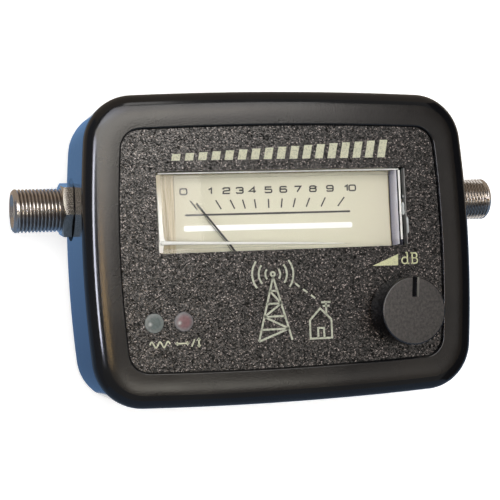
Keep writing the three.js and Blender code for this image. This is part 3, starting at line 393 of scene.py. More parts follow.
def coordinate(tree, axis, space="Object"):
    place = node(tree, "TexCoord")
    return node(tree, "SeparateXYZ", {"Vector": place.outputs[space]}).outputs[axis]


def noise(tree, scale, detail=3.0, roughness=0.55, stretch=(1, 1, 1)):
    links = {"Vector": where(tree, stretch)}
    values = {"Scale": scale, "Detail": detail, "Roughness": roughness}
    return node(tree, "TexNoise", links, **values).outputs["Fac"]


def ramp(tree, fac, stops):
    """Colours that run through the stops of (place, colour)."""
    made = node(tree, "ValToRGB", {"Fac": fac})
    elements = made.color_ramp.elements
    for element, (position, color) in ((elements[0], stops[0]), (elements[-1], stops[-1])):
        element.position = position
        element.color = (*color, 1)
    for position, color in stops[1:-1]:
        elements.new(position).color = (*color, 1)
    return made.outputs["Color"]


def shades(tree, fac, dark, light, start=0.3, end=0.7):
    return ramp(tree, fac, [(start, dark), (end, light)])


def grey(value):
    return (value, value, value)


def level(tree, fac, low, high, start=0.3, end=0.7):
    """A value that runs from low to high as fac runs from start to end."""
    values = {"From_Min": start, "From_Max": end, "To_Min": low, "To_Max": high}
    return node(tree, "MapRange", {"Value": fac}, **values).outputs["Result"]


def bump(shader, height, distance):
    made = node(shader.id_data, "Bump", {"Height": height}, Distance=distance * MM, Strength=1.0)
    feed(shader, "Normal", made.outputs["Normal"])


def srgb(color):
    """Linear colour from 0..255 display values."""
    return tuple(((c / 255 + 0.055) / 1.055) ** 2.4 if c > 10 else c / 255 / 12.92 for c in color)


def mix_shaders(tree, share, first, second):
    return node(tree, "MixShader", {0: share, 1: first.outputs[0], 2: second.outputs[0]})


def to_surface(tree, shader, kind="OUTPUT_MATERIAL"):
    feed(find(tree, kind), "Surface", shader.outputs[0])


def ray(tree, *kinds):
    """1 for a ray of any of the given kinds."""
    path = node(tree, "LightPath")
    total, *others = [path.outputs[f"Is {kind} Ray"] for kind in kinds]
    for other in others:
        total = node(tree, "Math", {0: total, 1: other}, operation="MAXIMUM").outputs[0]
    return total


# Materials, with colours in 0..255 display values and grains in millimetres

def plastic(name, dark, light, rough, grain=0.004, scale=1500, smears=0.03, specular=0.5):
    """Moulded plastic: two close shades, a fine grain and uneven gloss."""
    material, tree, shader = blank(name)
    feed(shader, "Base Color", shades(tree, noise(tree, 60, 4), srgb(dark), srgb(light)))
    streaks = noise(tree, 90, 5, 0.6, (1, 0.35, 1))
    feed(shader, "Roughness", level(tree, streaks, rough - smears, rough + smears))
    bump(shader, noise(tree, scale, 2), grain)
    preset(shader, Specular_IOR_Level=specular)
    return material


def shaded(name, axis, start, end, *stops):
    """Plastic whose colour runs through the stops between two places along an axis."""
    material, tree, shader = blank(name)
    share = level(tree, coordinate(tree, axis), 0, 1, start * MM, end * MM)
    feed(shader, "Base Color", ramp(tree, share, [(place, srgb(color)) for place, color in stops]))
    feed(shader, "Roughness", level(tree, noise(tree, 400, 3), 0.35, 0.5))
    bump(shader, noise(tree, 400, 2), 0.006)
    return material


def metal(name, color, rough, scale=2600, tint=0.1):
    """Metal with fine turned marks."""
    material, tree, shader = blank(name)
    preset(shader, Metallic=1.0)
    marks = noise(tree, scale, 2, 0.5)
    light = srgb(color)
    feed(shader, "Base Color", shades(tree, marks, tuple(c * (1 - tint) for c in light), light))
    feed(shader, "Roughness", level(tree, marks, rough * 0.9, rough * 1.1))
    bump(shader, marks, 0.0015)
    return material


def streaked(name, dark, light, rough, stretch):
    """Satin card or plastic with a fine fleck, drawn out along one axis."""
    material, tree, shader = blank(name)
    marks = noise(tree, 1500, 3, 0.6, stretch)
    feed(shader, "Base Color", shades(tree, marks, srgb(dark), srgb(light), 0.35, 0.65))
    feed(shader, "Roughness", level(tree, marks, rough, rough + 0.1))
    bump(shader, marks, 0.004)
    return material


def pebbles(tree, feature, output):
    """The cells of the printed sheet's grain."""
    cells = node(tree, "TexVoronoi", {"Vector": where(tree)}, Scale=GRAIN, feature=feature)
    return cells.outputs[output]


def grain_height(tree):
    links = {0: pebbles(tree, "SMOOTH_F1", "Distance"), 1: noise(tree, 3400, 3, 0.6)}
    return node(tree, "Math", links, operation="SUBTRACT").outputs["Value"]


def cell_grey(tree):
    """One random grey for each pebble of the grain."""
    return node(tree, "SeparateColor", {"Color": pebbles(tree, "F1", "Color")}).outputs["Red"]


def grained_sheet(name):
    """Dark printed sheet with a fine pebbled grain in random greys, whose palest cells are painted glints."""
    material, tree, shader = blank(name)
    # The other stops give the grain's random tone. The last stop's pale cells are painted glints, standing in
    # for glitter on the grain's tops.
    stops = [
        (0.0, (4, 4, 3)), (0.35, (11, 10, 8)), (0.7, (37, 31, 28)), (0.94, (69, 59, 54)), (1.0, (160, 146, 140)),
    ]
    cells = cell_grey(tree)
    feed(shader, "Base Color", ramp(tree, cells, [(place, srgb(color)) for place, color in stops]))
    feed(shader, "Roughness", level(tree, noise(tree, 60, 3), 0.22, 0.28))
    feed(shader, "Specular IOR Level", level(tree, cells, 0.05, 1.1, 0.1, 0.9))
    bump(shader, grain_height(tree), 0.03)
    return material


def print_ink(name, dark, light):
    """Screen-printed ink that lies in the sheet's grain."""
    material, tree, shader = blank(name)
    feed(shader, "Base Color", shades(tree, cell_grey(tree), srgb(dark), srgb(light), 0.0, 0.5))
    preset(shader, Roughness=0.6)
    bump(shader, grain_height(tree), 0.05)
    return material


def clear_plastic(name, tint):
    """Clear moulding: glossy faces on a body that bends light a little. Shadow rays pass."""
    material, tree, shader = blank(name)
    preset(shader, Base_Color=(*tint, 1), Transmission_Weight=1.0, IOR=1.12)
    preset(shader, Coat_Weight=0.6, Coat_Roughness=0.04)
    feed(shader, "Roughness", level(tree, noise(tree, 120, 3), 0.01, 0.03))
    through = node(tree, "BsdfTransparent", Color=(*tint, 1))
    to_surface(tree, mix_shaders(tree, ray(tree, "Shadow"), shader, through))
    return material


def from_centre(tree, x, y, reach):
    """Distance across the face from a point in millimetres, 0 there and 1 at reach."""
    place = node(tree, "TexCoord")
    flat = node(tree, "VectorMath", {0: place.outputs["Object"]}, operation="MULTIPLY")
    flat.inputs[1].default_value = (1, 1, 0)
    apart = node(tree, "VectorMath", {0: flat.outputs[0]}, operation="DISTANCE")
    apart.inputs[1].default_value = (x * MM, y * MM, 0)
    return level(tree, apart.outputs["Value"], 0, 1, 0, reach * MM)


def mix_colors(tree, links, **values):
    return node(tree, "Mix", links, data_type="RGBA", **values).outputs[2]


def lamp_window(name, x, core, ring):
    """A clear spot with the lamp's colour in its middle and a pale patch beside it, a painted highlight."""
    material, tree, shader = blank(name)
    core, ring, spot_highlight = srgb(core), srgb(ring), srgb((206, 208, 206))
    spread = shades(tree, from_centre(tree, x + 0.1, LAMP_Y, 2.1), core, ring, 0.5, 0.85)
    # Painted highlight: a pale patch a little left of and below the middle.
    beside = from_centre(tree, x - 0.95, LAMP_Y - 0.2, 0.75)
    cup = shades(tree, beside, spot_highlight, core, 0.0, 1.0)
    base = mix_colors(tree, {0: level(tree, beside, 0, 1, 0.25, 1.0), 6: cup, 7: spread})
    flecks = shades(tree, noise(tree, 1700, 3), grey(0.55), grey(1.0))
    feed(shader, "Base Color", mix_colors(tree, {6: base, 7: flecks}, Factor=1.0, blend_type="MULTIPLY"))
    feed(shader, "Roughness", level(tree, noise(tree, 600, 2), 0.3, 0.4))
    bump(shader, noise(tree, 900, 3), 0.03)
    return material


MATERIALS = {
    "bezel": plastic("bezel_satin", (24, 21, 19), (40, 36, 32), 0.16, 0.02, 2600, 0.05),
    "rim": plastic("rim_gloss", (12, 12, 14), (18, 18, 20), 0.1, 0.003, 900, 0.02),
    "tub": plastic("tub_gloss", (9, 9, 11), (14, 14, 16), 0.12, 0.003, 500, 0.02),
    "sheet": grained_sheet("sheet_grain_and_glints"),
    "ink": print_ink("ink_cream", (166, 166, 144), (206, 205, 178)),
    "ink_green": print_ink("ink_pale", (180, 180, 140), (210, 210, 166)),
    "art": print_ink("ink_art", (146, 148, 132), (190, 192, 172)),
    "nickel": metal("nickel_plate", (204, 197, 190), 0.17),
    "nut": metal("nut_plate", (214, 208, 198), 0.15, 1500, 0.2),
    # Painted shade: a darker nickel for the thread's grooves.
    "groove": metal("thread_groove_painted_shade", (140, 134, 128), 0.3),
    "steel": metal("zinc_plate", (180, 182, 188), 0.3),
    "brass": metal("bright_brass", (206, 170, 96), 0.3),
    "copper": metal("copper_wire", (196, 124, 84), 0.35),
    "ferrite": plastic("ferrite_black", (44, 44, 46), (60, 60, 62), 0.6, 0.03, 1500, 0.05),
    "insulator": plastic("insulator_white", (214, 208, 196), (232, 228, 218), 0.45, 0.01, 800, 0.05),
    "clear": clear_plastic("cover_clear", (0.99, 0.99, 0.985)),
    "bulb": clear_plastic("bulb_glass", (0.97, 0.93, 0.82)),
    "green_spot": lamp_window("spot_green", LAMPS["green"], (88, 102, 100), (118, 124, 122)),
    "red_spot": lamp_window("spot_red", LAMPS["red"], (126, 84, 88), (120, 116, 118)),
    "tray": plastic("tray_cream", (214, 200, 166), (228, 218, 188), 0.4, 0.01, 700, 0.05),
    # The scale plate's tan is partly the card's own colour and partly painted shade, on the strip left of the
    # label beside the cover's left wall.
    "plate": streaked("scale_plate_card_and_shade", (150, 135, 102), (202, 189, 158), 0.5, (1, 0.05, 1)),
    # Painted shade: the dial label is darker at its left end, beside the cover's left wall, and a little darker
    # at its right end.
    "label": shaded(
        "dial_label_painted_shade", "X", -23.4, 26.6,
        (0.0, (188, 182, 158)), (0.22, (206, 203, 181)), (0.75, (207, 204, 182)), (1.0, (200, 195, 174)),
    ),
    "dial_ink": plastic("dial_ink", (52, 50, 50), (70, 68, 66), 0.6),
    # Painted shadow: a darker line along the left edge of the dial label.
    "label_edge_shadow": plastic("label_edge_shadow", (138, 128, 106), (160, 150, 126), 0.6),
    # Painted highlight: a mottled grey for the lit edge of the window's opening.
    "opening_highlight": plastic("opening_edge_highlight", (96, 96, 92), (196, 196, 190), 0.25, 0.05, 700, 0.08),
    # Painted highlight: a pale grey line along the printed sheet's cut edge.
    "cut_edge_highlight": plastic("sheet_cut_edge_highlight", (120, 118, 116), (160, 158, 156), 0.3, 0.004, 900, 0.05),
    "dial_white": plastic("dial_white", (248, 248, 244), (255, 255, 252), 0.5),
    "needle": plastic("needle_paint", (22, 22, 26), (34, 34, 38), 0.4, smears=0.05),
    # Painted shadow: a grey-green line for the needle's shadow on the dial.
    "needle_painted_shadow": plastic("needle_painted_shadow", (96, 100, 92), (124, 126, 114), 0.4, smears=0.05),
    # The knob's side is darker than the same black on its rounded edge: partly the plastic's own black, partly
    # painted shade.
    "knob": plastic("knob_black_and_shade", (3, 3, 6), (6, 6, 9), 0.2, specular=0.12),
    "knob_edge": plastic("knob_edge", (12, 12, 14), (22, 22, 24), 0.24, specular=0.9),
    # Painted highlight: a pale colour for the light on the right wall of the knob's slot.
    "slot_wall_highlight": plastic("slot_wall_highlight", (180, 176, 168), (214, 209, 200), 0.3, 0.006),
    # The knob's top is a satin grey lighter than its side: partly a real satin finish, partly painted light.
    "knob_top": streaked("knob_top_satin_and_light", (32, 30, 28), (64, 59, 56), 0.42, (1.3, 1, 1)),
    # Painted light and shade: violet-grey deeper in the cover, near white towards its front.
    "frost_and_shade": shaded("cover_frost_and_shade", "Z", 25.6, 27.9, (0.0, (178, 178, 202)), (1.0, (240, 239, 252))),
    # Painted light and shade: near white low down, turning tan towards the top.
    "wall_painted_light": shaded("cover_wall_painted_light", "Y", 7.0, 14.5, (0.0, (252, 248, 240)), (1.0, (196, 184, 156))),
    # Painted highlight: a near white for the light caught by the cover's edges.
    "painted_highlight": plastic("cover_painted_highlight", (244, 243, 236), (255, 254, 250), 0.2, 0.004, 400, 0.05),
    "glue": plastic("glue_grey", (150, 154, 154), (226, 230, 228), 0.2, 0.08, 900, 0.08),
    "black": plastic("epoxy_black", (26, 26, 28), (38, 38, 40), 0.5, 0.01, 1500, 0.06),
    "sleeve": plastic("sleeve_blue", (26, 40, 74), (36, 52, 90), 0.3, 0.006, 900, 0.04),
    "board": plastic("board_green", (34, 84, 52), (48, 104, 66), 0.35, 0.01, 1400, 0.05),
    "green_lens": plastic("lens_green", (96, 128, 116), (112, 146, 132), 0.2, 0.004, 900),
    "red_lens": plastic("lens_red", (150, 66, 76), (170, 84, 92), 0.2, 0.004, 900),
    "jewel": plastic("jewel_red", (150, 34, 48), (178, 52, 64), 0.12, 0.002, 900, 0.02),
}


def wear(obj, *finishes):
    obj.data.materials.clear()
    for finish in finishes:
        obj.data.materials.append(MATERIALS[finish])


def paint(obj, finishes, choose):
    """Gives a piece several finishes, of which choose picks one for each face by its number."""
    wear(obj, *finishes)
    for polygon in obj.data.polygons:
        polygon.material_index = choose(polygon)


def place(obj, body="case", slot=None, solid=None):
    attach(obj, body)
    if solid:
        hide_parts(solid)
    return obj


def dress(obj, finish, body="case", slot=None, solid=None):
    wear(obj, finish)
    return place(obj, body, slot, solid)


# Housing

RIM_RADIUS, RIM_TILT, RIM_RISE, GLOSS_END = 2.4, math.radians(16), 0.493, 2.6
CORNERS = [(-1, -1), (1, -1), (1, 1), (-1, 1)]


def panel_holes(lamp_radius, shaft_radius=3.8):
    shaft = circle(KNOB["x"], KNOB["y"], shaft_radius)
    lamps = [circle(x, LAMP_Y, lamp_radius) for x in LAMPS.values()]
    return [round_rectangle(**WINDOW), shaft, *lamps]


def rim_profile():
    """(inset, z) from the seam over a round rim, which flattens slowly across the bezel."""
    round_part = arc(RIM_RADIUS, SEAM_Z + SEAM_CHAMFER, RIM_RADIUS, math.pi, math.pi / 2 + RIM_TILT, 14)
    begin = round_part[-1][0]
    width = BEZEL - BEZEL_EDGE - begin
    power = math.tan(RIM_TILT) * width / RIM_RISE
    shares = [k / 20 for k in range(1, 21)]
    return round_part + [(begin + width * s, DEPTH - RIM_RISE * (1 - s) ** power) for s in shares]


def front_frame():
    """The front frame's side, rim, bezel and recess, with the plate below the sheet."""
    lip_gap, lip_depth, lip_wall, ledge, plate_gap, lamp_hole = 0.3, 2.4, 1.2, 1.0, 0.95, 1.85
    lip, low = WALL + lip_gap, SEAM_Z - lip_depth
    start = [(lip, low), (lip, SEAM_Z), (SEAM_CHAMFER, SEAM_Z)]
    rim = rim_profile()
    edge = rounded([
        (BEZEL - 2 * BEZEL_EDGE, DEPTH, 0),
        (BEZEL, DEPTH, BEZEL_EDGE),
        (BEZEL, PLATE_TOP_Z, 0),
    ], 6)[1:]
    inside = [(BEZEL + ledge, PLATE_TOP_Z), (BEZEL + ledge, PLATE_UNDER_Z), (lip + lip_wall, low)]
    rings = [
        [(x, y, z) for x, y in outline(inset, frame_corner(inset))]
        for inset, z in start + rim + edge + inside
    ]
    shell = loft("front_frame", rings, True)
    satin_from = len(start) + sum(inset < GLOSS_END for inset, _ in rim)
    satin_rows = range(satin_from, len(start) + len(rim))
    paint(shell, ("rim", "bezel"), lambda polygon: int(polygon.index // len(rings[0]) in satin_rows))
    loop = outline(BEZEL + plate_gap, frame_corner(BEZEL + plate_gap))
    plate = slab("front_plate", loop, PLATE_UNDER_Z, PLATE_TOP_Z - 0.01, panel_holes(lamp_hole))
    dress(plate, "rim", slot="housing_front")
    place(shell, slot="housing_front", solid="front_shell")


def rod(name, radius, z0, z1, count=96):
    return lathe(name, [(0, z0), (radius, z0), (radius, z1), (0, z1)], count)


def rear_tub():
    radius, seam = BACK_RADIUS, SEAM_Z - 0.01
    middle = draft_inset(radius) + radius
    sections = [
        *arc(middle, radius, radius, -math.pi / 2, -math.pi, 12),
        *((draft_inset(z), z) for z in (10.0, 14.0, 18.0, 22.0, 25.0, SEAM_Z - SEAM_CHAMFER)),
        (SEAM_CHAMFER, seam),
        (WALL, seam),
        *arc(middle, radius, radius - WALL, -math.pi, -math.pi / 2, 8),
    ]
    tub = loft("rear_tub", [[(x, y, z) for x, y in outline(inset)] for inset, z in sections], False)
    hole_radius, hole_start, beyond = 5.0, 40.0, 46.0
    sink_radius, sink_top = 3.0, 2.6
    cutters = []
    for side in (-1, 1):
        seat = rod("seat", SEAT_RADIUS, SEAT_X, beyond)
        hole = rod("hole", hole_radius, hole_start, beyond)
        cutters += [transform(seat, to_side(side)), transform(hole, to_side(side))]
    for sx, sy in sorted(CORNERS):
        sink = rod("sink", sink_radius, -1.0, sink_top, 64)
        cutters.append(transform(sink, shift(sx * SCREW["x"], sy * SCREW["y"], 0)))
    dress(carve(tub, cutters), "tub", slot="housing_rear", solid="rear_shell")


def printed_sheet():
    loop = outline(BEZEL + SHEET_GAP, RECESS_CORNER - SHEET_GAP)
    sheet = slab("printed_sheet", loop, PLATE_TOP_Z, FACE_Z, panel_holes(2.15), 0.12)
    dress(sheet, "sheet", slot="overlay", solid="panel_overlay")


# Print on the sheet, from one height to another

PRINT = (FACE_Z - 0.05, FACE_Z + 0.02)


def level_row():
    """A rising row of slanted bars across the head of the panel."""
    count, left, right, base, slant = 17, -24.9, 25.2, 18.95, 0.22
    pitch = (right - left) / count
    bars = []
    for i in range(count):
        x, width, height = left + i * pitch, pitch * 0.62, 1.4 + 2.5 * i / (count - 1)
        lean = height * slant
        bars.append([(x, base), (x + width, base), (x + width + lean, base + height), (x + lean, base + height)])
    dress(polygons("level_row", bars, *PRINT), "ink")


def wedge_mark():
    wedge = [(19.89, -5.11), (26.06, -5.19), (26.19, -2.7)]
    dress(polygons("wedge_mark", [wedge], *PRINT), "ink_green")


def bulge(x, y, radius):
    return arc(x, y, radius, math.pi / 2, -math.pi / 2, 10)


def decibel_mark():
    """The unit beside the wedge."""
    y, d, b = -5.0, 28.55, 29.2
    lines = open_lines([
        arc(27.75, y + 0.82, 0.72, math.radians(40), math.radians(320), 18),
        [(d - 0.18, y), (d - 0.18, y + 2.6)],
        [(d - 0.55, y + 2.52), (d - 0.1, y + 2.6)],
        [(d - 0.2, y + 0.1), (d + 0.2, y + 0.1)],
        [(b + 0.35, y), (b + 0.35, y + 2.5)],
        [(b, y + 0.1), (b + 1.0, y + 0.1)],
        [(b, y + 2.42), (b + 0.9, y + 2.42)],
        bulge(b + 0.95, y + 1.86, 0.56),
        bulge(b + 1.0, y + 0.7, 0.6),
        [(b + 0.35, y + 1.3), (b + 1.0, y + 1.3)],
    ])
    dress(strokes("decibel_mark", lines, 0.3, *PRINT), "ink_green")


def arrow(start, end, head=0.5, spread=0.75):
    """A double-headed arrow as lines."""
    ahead = Vector((end[0] - start[0], end[1] - start[1])).normalized()
    lines = [[start, end]]
    for tip, way in ((start, 1), (end, -1)):
        wings = [Vector(tip) + Matrix.Rotation(turn, 2) @ ahead * head * way for turn in (-spread, spread)]
        lines.append([tuple(wings[0]), tip, tuple(wings[1])])
    return lines


def lamp_signs():
    """A wave under the first lamp, and an arrow each way under the second."""
    y = -19.85
    wave = [(-31.3 + 4.4 * k / 32, y + 0.6 * math.sin(5 * math.pi * k / 32)) for k in range(33)]
    across, upright = arrow((-25.6, y), (-22.9, y)), arrow((-20.6, y - 0.85), (-20.6, y + 0.85))
    lines = open_lines([wave, *across, *upright, [(-22.2, y - 0.75), (-21.5, y + 0.75)]])
    dress(strokes("lamp_signs", lines, 0.32, *PRINT), "ink")


def between(start, end, share):
    return tuple(a + (b - a) * share for a, b in zip(start, end))


def panel_picture():
    """A lattice mast that sends waves to a house."""
    top, left, right = (-3.4, -6.6), (-7.2, -20.4), (0.4, -20.4)
    mast = [[top, left], [top, right]]
    shares = (0.22, 0.42, 0.62, 0.82, 1.0)
    for k, (share, following) in enumerate(zip(shares, shares[1:])):
        near, far = (right, left) if k % 2 else (left, right)
        mast.append([between(top, left, share), between(top, right, share)])
        mast.append([between(top, near, share), between(top, far, following)])
    hub, reach = (top[0], top[1] + 0.6), 38
    for radius in (1.7, 3.2, 4.7):
        for middle in (0, 180):
            mast.append(arc(*hub, radius, math.radians(middle - reach), math.radians(middle + reach), 10))
    walls = [(4.6, -20.4), (9.6, -20.4), (9.6, -16.4), (7.1, -13.9), (4.6, -16.4)]
    house = [
        [(6.4, -20.4), (6.4, -18.2), (7.8, -18.2), (7.8, -20.4)],
        [(8.5, -15.3), (8.5, -12.6)],
        [(7.4, -12.6), (9.6, -12.6)],
        [(7.7, -13.4), (9.3, -13.4)],
    ]
    for k in range(3):
        x, y = 1.6 + 1.75 * k, -8.2 - 1.35 * k
        house.append([(x, y), (x + 1.0, y - 0.78)])
    lines = open_lines(mast) + [(circle(*hub, 0.45, 16), True), (walls, True)] + open_lines(house)
    dress(strokes("panel_picture", lines, 0.42, *PRINT), "art")


# Dial

LABEL_TOP = DIAL_Z + 0.03
INK = (LABEL_TOP, DIAL_Z + 0.12)
TICK_TOP, TICK_FOOT = 10.66, 8.67
TICKS = [
    (-19.79, -18.32), (-14.08, -12.90), (-10.78, -9.83), (-7.95, -7.42), (-5.20, -4.95), (-1.98, -1.98),
    (1.22, 0.92), (4.31, 3.71), (7.66, 6.78), (11.39, 10.29), (15.92, 14.29),
]
NUMBERS = [-21.24, -15.32, -11.53, -8.49, -5.60, -1.87, 1.59, 5.0, 8.54, 12.59, 17.34]
NUMBER_Y = 12.67


# Square digits in a box of one by one: (x, y) along each line, with a corner radius that isn't the usual one
DIGITS = {
    "0": [[(0.5, 0), (1, 0), (1, 1), (0, 1), (0, 0), (0.5, 0)]],
    "1": [[(0.12, 0.74), (0.52, 1, 0), (0.52, 0)]],
    "2": [[(0, 0.74), (0, 1), (1, 1), (1, 0.52), (0, 0.44), (0, 0, 0), (1, 0)]],
    "3": [[(0, 0.8), (0, 1, 0.16), (1, 1), (1, 0.52, 0.2), (0.4, 0.52)],
          [(0.4, 0.52), (1, 0.52, 0.2), (1, 0), (0, 0, 0.16), (0, 0.2)]],
    "4": [[(0.76, 0), (0.76, 1, 0), (0, 0.3, 0), (1.04, 0.3)]],
    "5": [[(0.96, 1), (0.04, 1, 0), (0.02, 0.58, 0), (1, 0.58), (1, 0), (0, 0, 0.16), (0, 0.18)]],
    "6": [[(0.96, 0.84), (0.96, 1, 0.14), (0, 1), (0, 0), (1, 0), (1, 0.56), (0, 0.56)]],
    "7": [[(0, 1), (0.96, 1, 0), (0.36, 0)]],
    "8": [[(0.5, 0.54), (0.96, 0.54, 0.2), (0.96, 1), (0.04, 1), (0.04, 0.54, 0.2), (0.5, 0.54)],
          [(0.5, 0.54), (1, 0.54, 0.2), (1, 0), (0, 0), (0, 0.54, 0.2), (0.5, 0.54)]],
    "9": [[(0.04, 0.16), (0.04, 0, 0.14), (1, 0), (1, 1), (0, 1), (0, 0.44), (1, 0.44)]],
}
DIGIT = {"width": 1.5, "height": 1.22, "gap": 0.42, "stroke": 0.31, "one": 0.55, "corner": 0.26}


def number_lines(text, cx, cy):
    d = DIGIT
    widths = [d["width"] * (d["one"] if figure == "1" else 1.0) for figure in text]
    x = cx - (sum(widths) + d["gap"] * (len(text) - 1)) / 2
    lines = []
    for figure, width in zip(text, widths):
        for path in DIGITS[figure]:
            lines.append(rounded([
                (x + px * d["width"], cy + (py - 0.5) * d["height"], (own or [d["corner"]])[0] * d["height"])
                for px, py, *own in path
            ], 3))
        x += width + d["gap"]
    return lines


def bar_outline(start, end, half):
    """A bar with rounded ends."""
    tilt = math.atan2(end[1] - start[1], end[0] - start[0])
    quarter, corner = math.pi / 2, half * 0.7
    loop = []
    for (x, y), facing in ((end, 0), (start, math.pi)):
        for side in (-1, 1):
            inner = half - corner
            turn = tilt + facing + side * quarter
            first = tilt + facing + (side - 1) / 2 * quarter
            cx, cy = x + inner * math.cos(turn), y + inner * math.sin(turn)
            loop += arc(cx, cy, corner, first, first + quarter, 5)
    return loop


def dial_print():
    label = slab("dial_label_painted_shade", round_rectangle(-23.4, -2.2, 26.6, 16.2, 0.2, 2), DIAL_Z, LABEL_TOP)
    dress(label, "label", slot="scale")
    numbers = [line for i, x in enumerate(NUMBERS) for line in number_lines(str(i), x, NUMBER_Y)]
    for name, paths, width, finish in (
        ("dial_ticks", [[(top, TICK_TOP), (foot, TICK_FOOT)] for top, foot in TICKS], 0.29, "dial_ink"),
        ("dial_label_edge_shadow", [[(-23.36, 16.1), (-23.36, 6.4)]], 0.16, "label_edge_shadow"),
        ("dial_numbers", numbers, DIGIT["stroke"], "dial_ink"),
        ("dial_rule", [[(-21.08, 7.54), (17.15, 7.42)]], 0.42, "dial_ink"),
    ):
        dress(strokes(name, open_lines(paths), width, *INK), finish)
    dress(polygons("dial_bar", [bar_outline((-21.1, 4.64), (17.1, 4.39), 0.64)], *INK), "dial_white")


# Sockets

def thread_shape(side):
    """The thread's ridges between the nut and the barrel's end, which fade out at both."""
    start, end = SEAT_X + NUT_HEIGHT - 1.0, REACH - 0.75
    fade_length, steepness, crest = 0.5, 1.35, 0.1

    def radius_at(radius, z, angle):
        if radius < THREAD - 0.01 or not start < z < end:
            return radius
        phase = (z / PITCH + side * angle / (2 * math.pi)) % 1.0
        groove = max(0.0, min(1.0, steepness * abs(2 * phase - 1) - crest))
        fade = min(1.0, (z - start) / fade_length, (end - z) / fade_length)
        return radius - THREAD_DEPTH * (1 - groove) * fade

    return radius_at


def socket_set(name, side, turn):
    """A barrel with its thread, the nut outside and the insulator in its mouth."""
    first, last = 40.6, REACH - 0.6
    tail, flange_x, flange, neck = 4.5, 39.1, 6.0, 4.9
    rows = int((last - first) / (PITCH / 12))
    profile = [
        (BORE, INNER_X), (tail, INNER_X), (tail, flange_x), (flange, flange_x), (flange, first), (neck, first),
        *((THREAD, first + (last - first) * k / rows) for k in range(rows + 1)),
        *rounded([(THREAD, REACH - 0.5, 0), (THREAD - 0.42, REACH, 0.12), (BORE + 0.12, REACH, 0.08),
                  (BORE, REACH - 0.15, 0)], 3),
    ]
    barrel = lathe(f"{name}_barrel", profile, 120, shape=thread_shape(side), sharp=40)
    dress(barrel, "nickel", slot="nickel", solid=name)

    # Faces deep in the grooves get the darker nickel, painted shade.
    def in_groove(polygon):
        x, y, z = polygon.center / MM
        return int(BORE + 0.5 < math.hypot(x, y) < THREAD - 0.7 * THREAD_DEPTH and z > SEAT_X)

    paint(barrel, ("nickel", "groove"), in_groove)
    transform(barrel, to_side(side))
    nut = hexagon_nut(f"{name}_hex", SEAT_X, NUT_HEIGHT, turn)
    dress(transform(nut, to_side(side)), "nut", slot="nickel", solid=f"{name}_nut")
    face, hole, edge, cup, floor = REACH - MOUTH, 0.75, 3.4, 1.3, 1.1
    section = [(hole, INNER_X, 0), (edge, INNER_X, 0), (edge, face, 0.2), (cup, face, 0.1),
               (floor, face - 0.5, 0.1), (hole, face - 0.55, 0)]
    plug = lathe(f"{name}_plug", rounded(section, 4))
    dress(transform(plug, to_side(side)), "insulator", slot="insulator", solid=f"{name}_insulator")


def hexagon_nut(name, z0, height, turn, count=120):
    """A hexagon nut with a corner at turn. Its corners are turned down on both faces."""
    flat, bore, bevel = NUT_ACROSS / 2, THREAD - 0.1, 0.35
    shoulder, slope, top = flat * 0.985, math.tan(math.radians(28)), z0 + height
    sections = [
        (bore + bevel, z0, 0), (shoulder, z0, 0), (None, z0, 1), (None, top, -1), (shoulder, top, 0),
        (bore + bevel, top, 0), (bore, top - bevel, 0), (bore, z0 + bevel, 0),
    ]
    rings = []
    for radius, z, way in sections:
        ring = []
        for i in range(count):
            angle = 2 * math.pi * i / count
            r = radius or flat / math.cos(angle % (math.pi / 3) - math.pi / 6)
            fall = way * max(0.0, r - shoulder) * slope
            ring.append((r * math.cos(angle + turn), r * math.sin(angle + turn), z + fall))
        rings.append(ring)
    return loft(name, rings, True, 24)


def sockets():
    socket_set("lnb_socket", -1, math.radians(-13))
    socket_set("receiver_socket", 1, math.radians(9))


# Knob, lamps and screws

def knob_piece():
    k = KNOB
    radius, bottom, top = k["radius"], k["bottom"], k["top"]
    bore, hollow, skirt, roof = 2.7, 2.7, 1.3, 1.7
    profile = rounded([
        (bore, top - roof, 0), (bore, bottom + hollow, 0), (radius - skirt, bottom + hollow, 0),
        (radius - skirt, bottom, 0.2), (radius, bottom, 0.25), (radius, top, 0.34), (0, top, 0),
    ], 8) + [(0, top - roof)]
    knob = lathe("knob_cap", profile, 160)
    left, right, length, depth = -0.62, 0.92, 4.4, 1.0
    loop = round_rectangle(left, radius - length, right, radius + 1, 0.1, 3)
    carve(knob, [slab("slot", loop, top - depth, top + depth)])
    round_edges(knob, 0.11, 3, 50)
    turned = shift(k["x"], k["y"], 0) @ Matrix.Rotation(k["turn"], 4, "Z")
    dress(transform(knob, turned), "knob", "knob", "knob", "knob")
    paint(knob, ("knob", "knob_top", "knob_edge", "slot_wall_highlight"), knob_finish)


def knob_finish(polygon):
    """Finish of one face: 0 side, in a black darkened by painted shade, 1 top, a satin grey partly lightened by
    painted light, 2 rounded upper edge, 3 right wall of the slot, painted pale as a highlight.
    """
    k = KNOB
    skin, edge, slot_depth = 0.05, 0.4, 1.0
    depth = k["top"] - polygon.center.z / MM
    reach = math.hypot(polygon.center.x / MM - k["x"], polygon.center.y / MM - k["y"])
    if depth < skin and polygon.normal.z > 0.97:
        return 1
    if depth < edge and reach > k["radius"] - 0.5 and polygon.normal.z > 0.1:
        return 2
    # The slot's right wall gets the painted highlight.
    if depth < slot_depth and reach < k["radius"] - 0.1 and polygon.normal.x < -0.7:
        return 3
    return 0


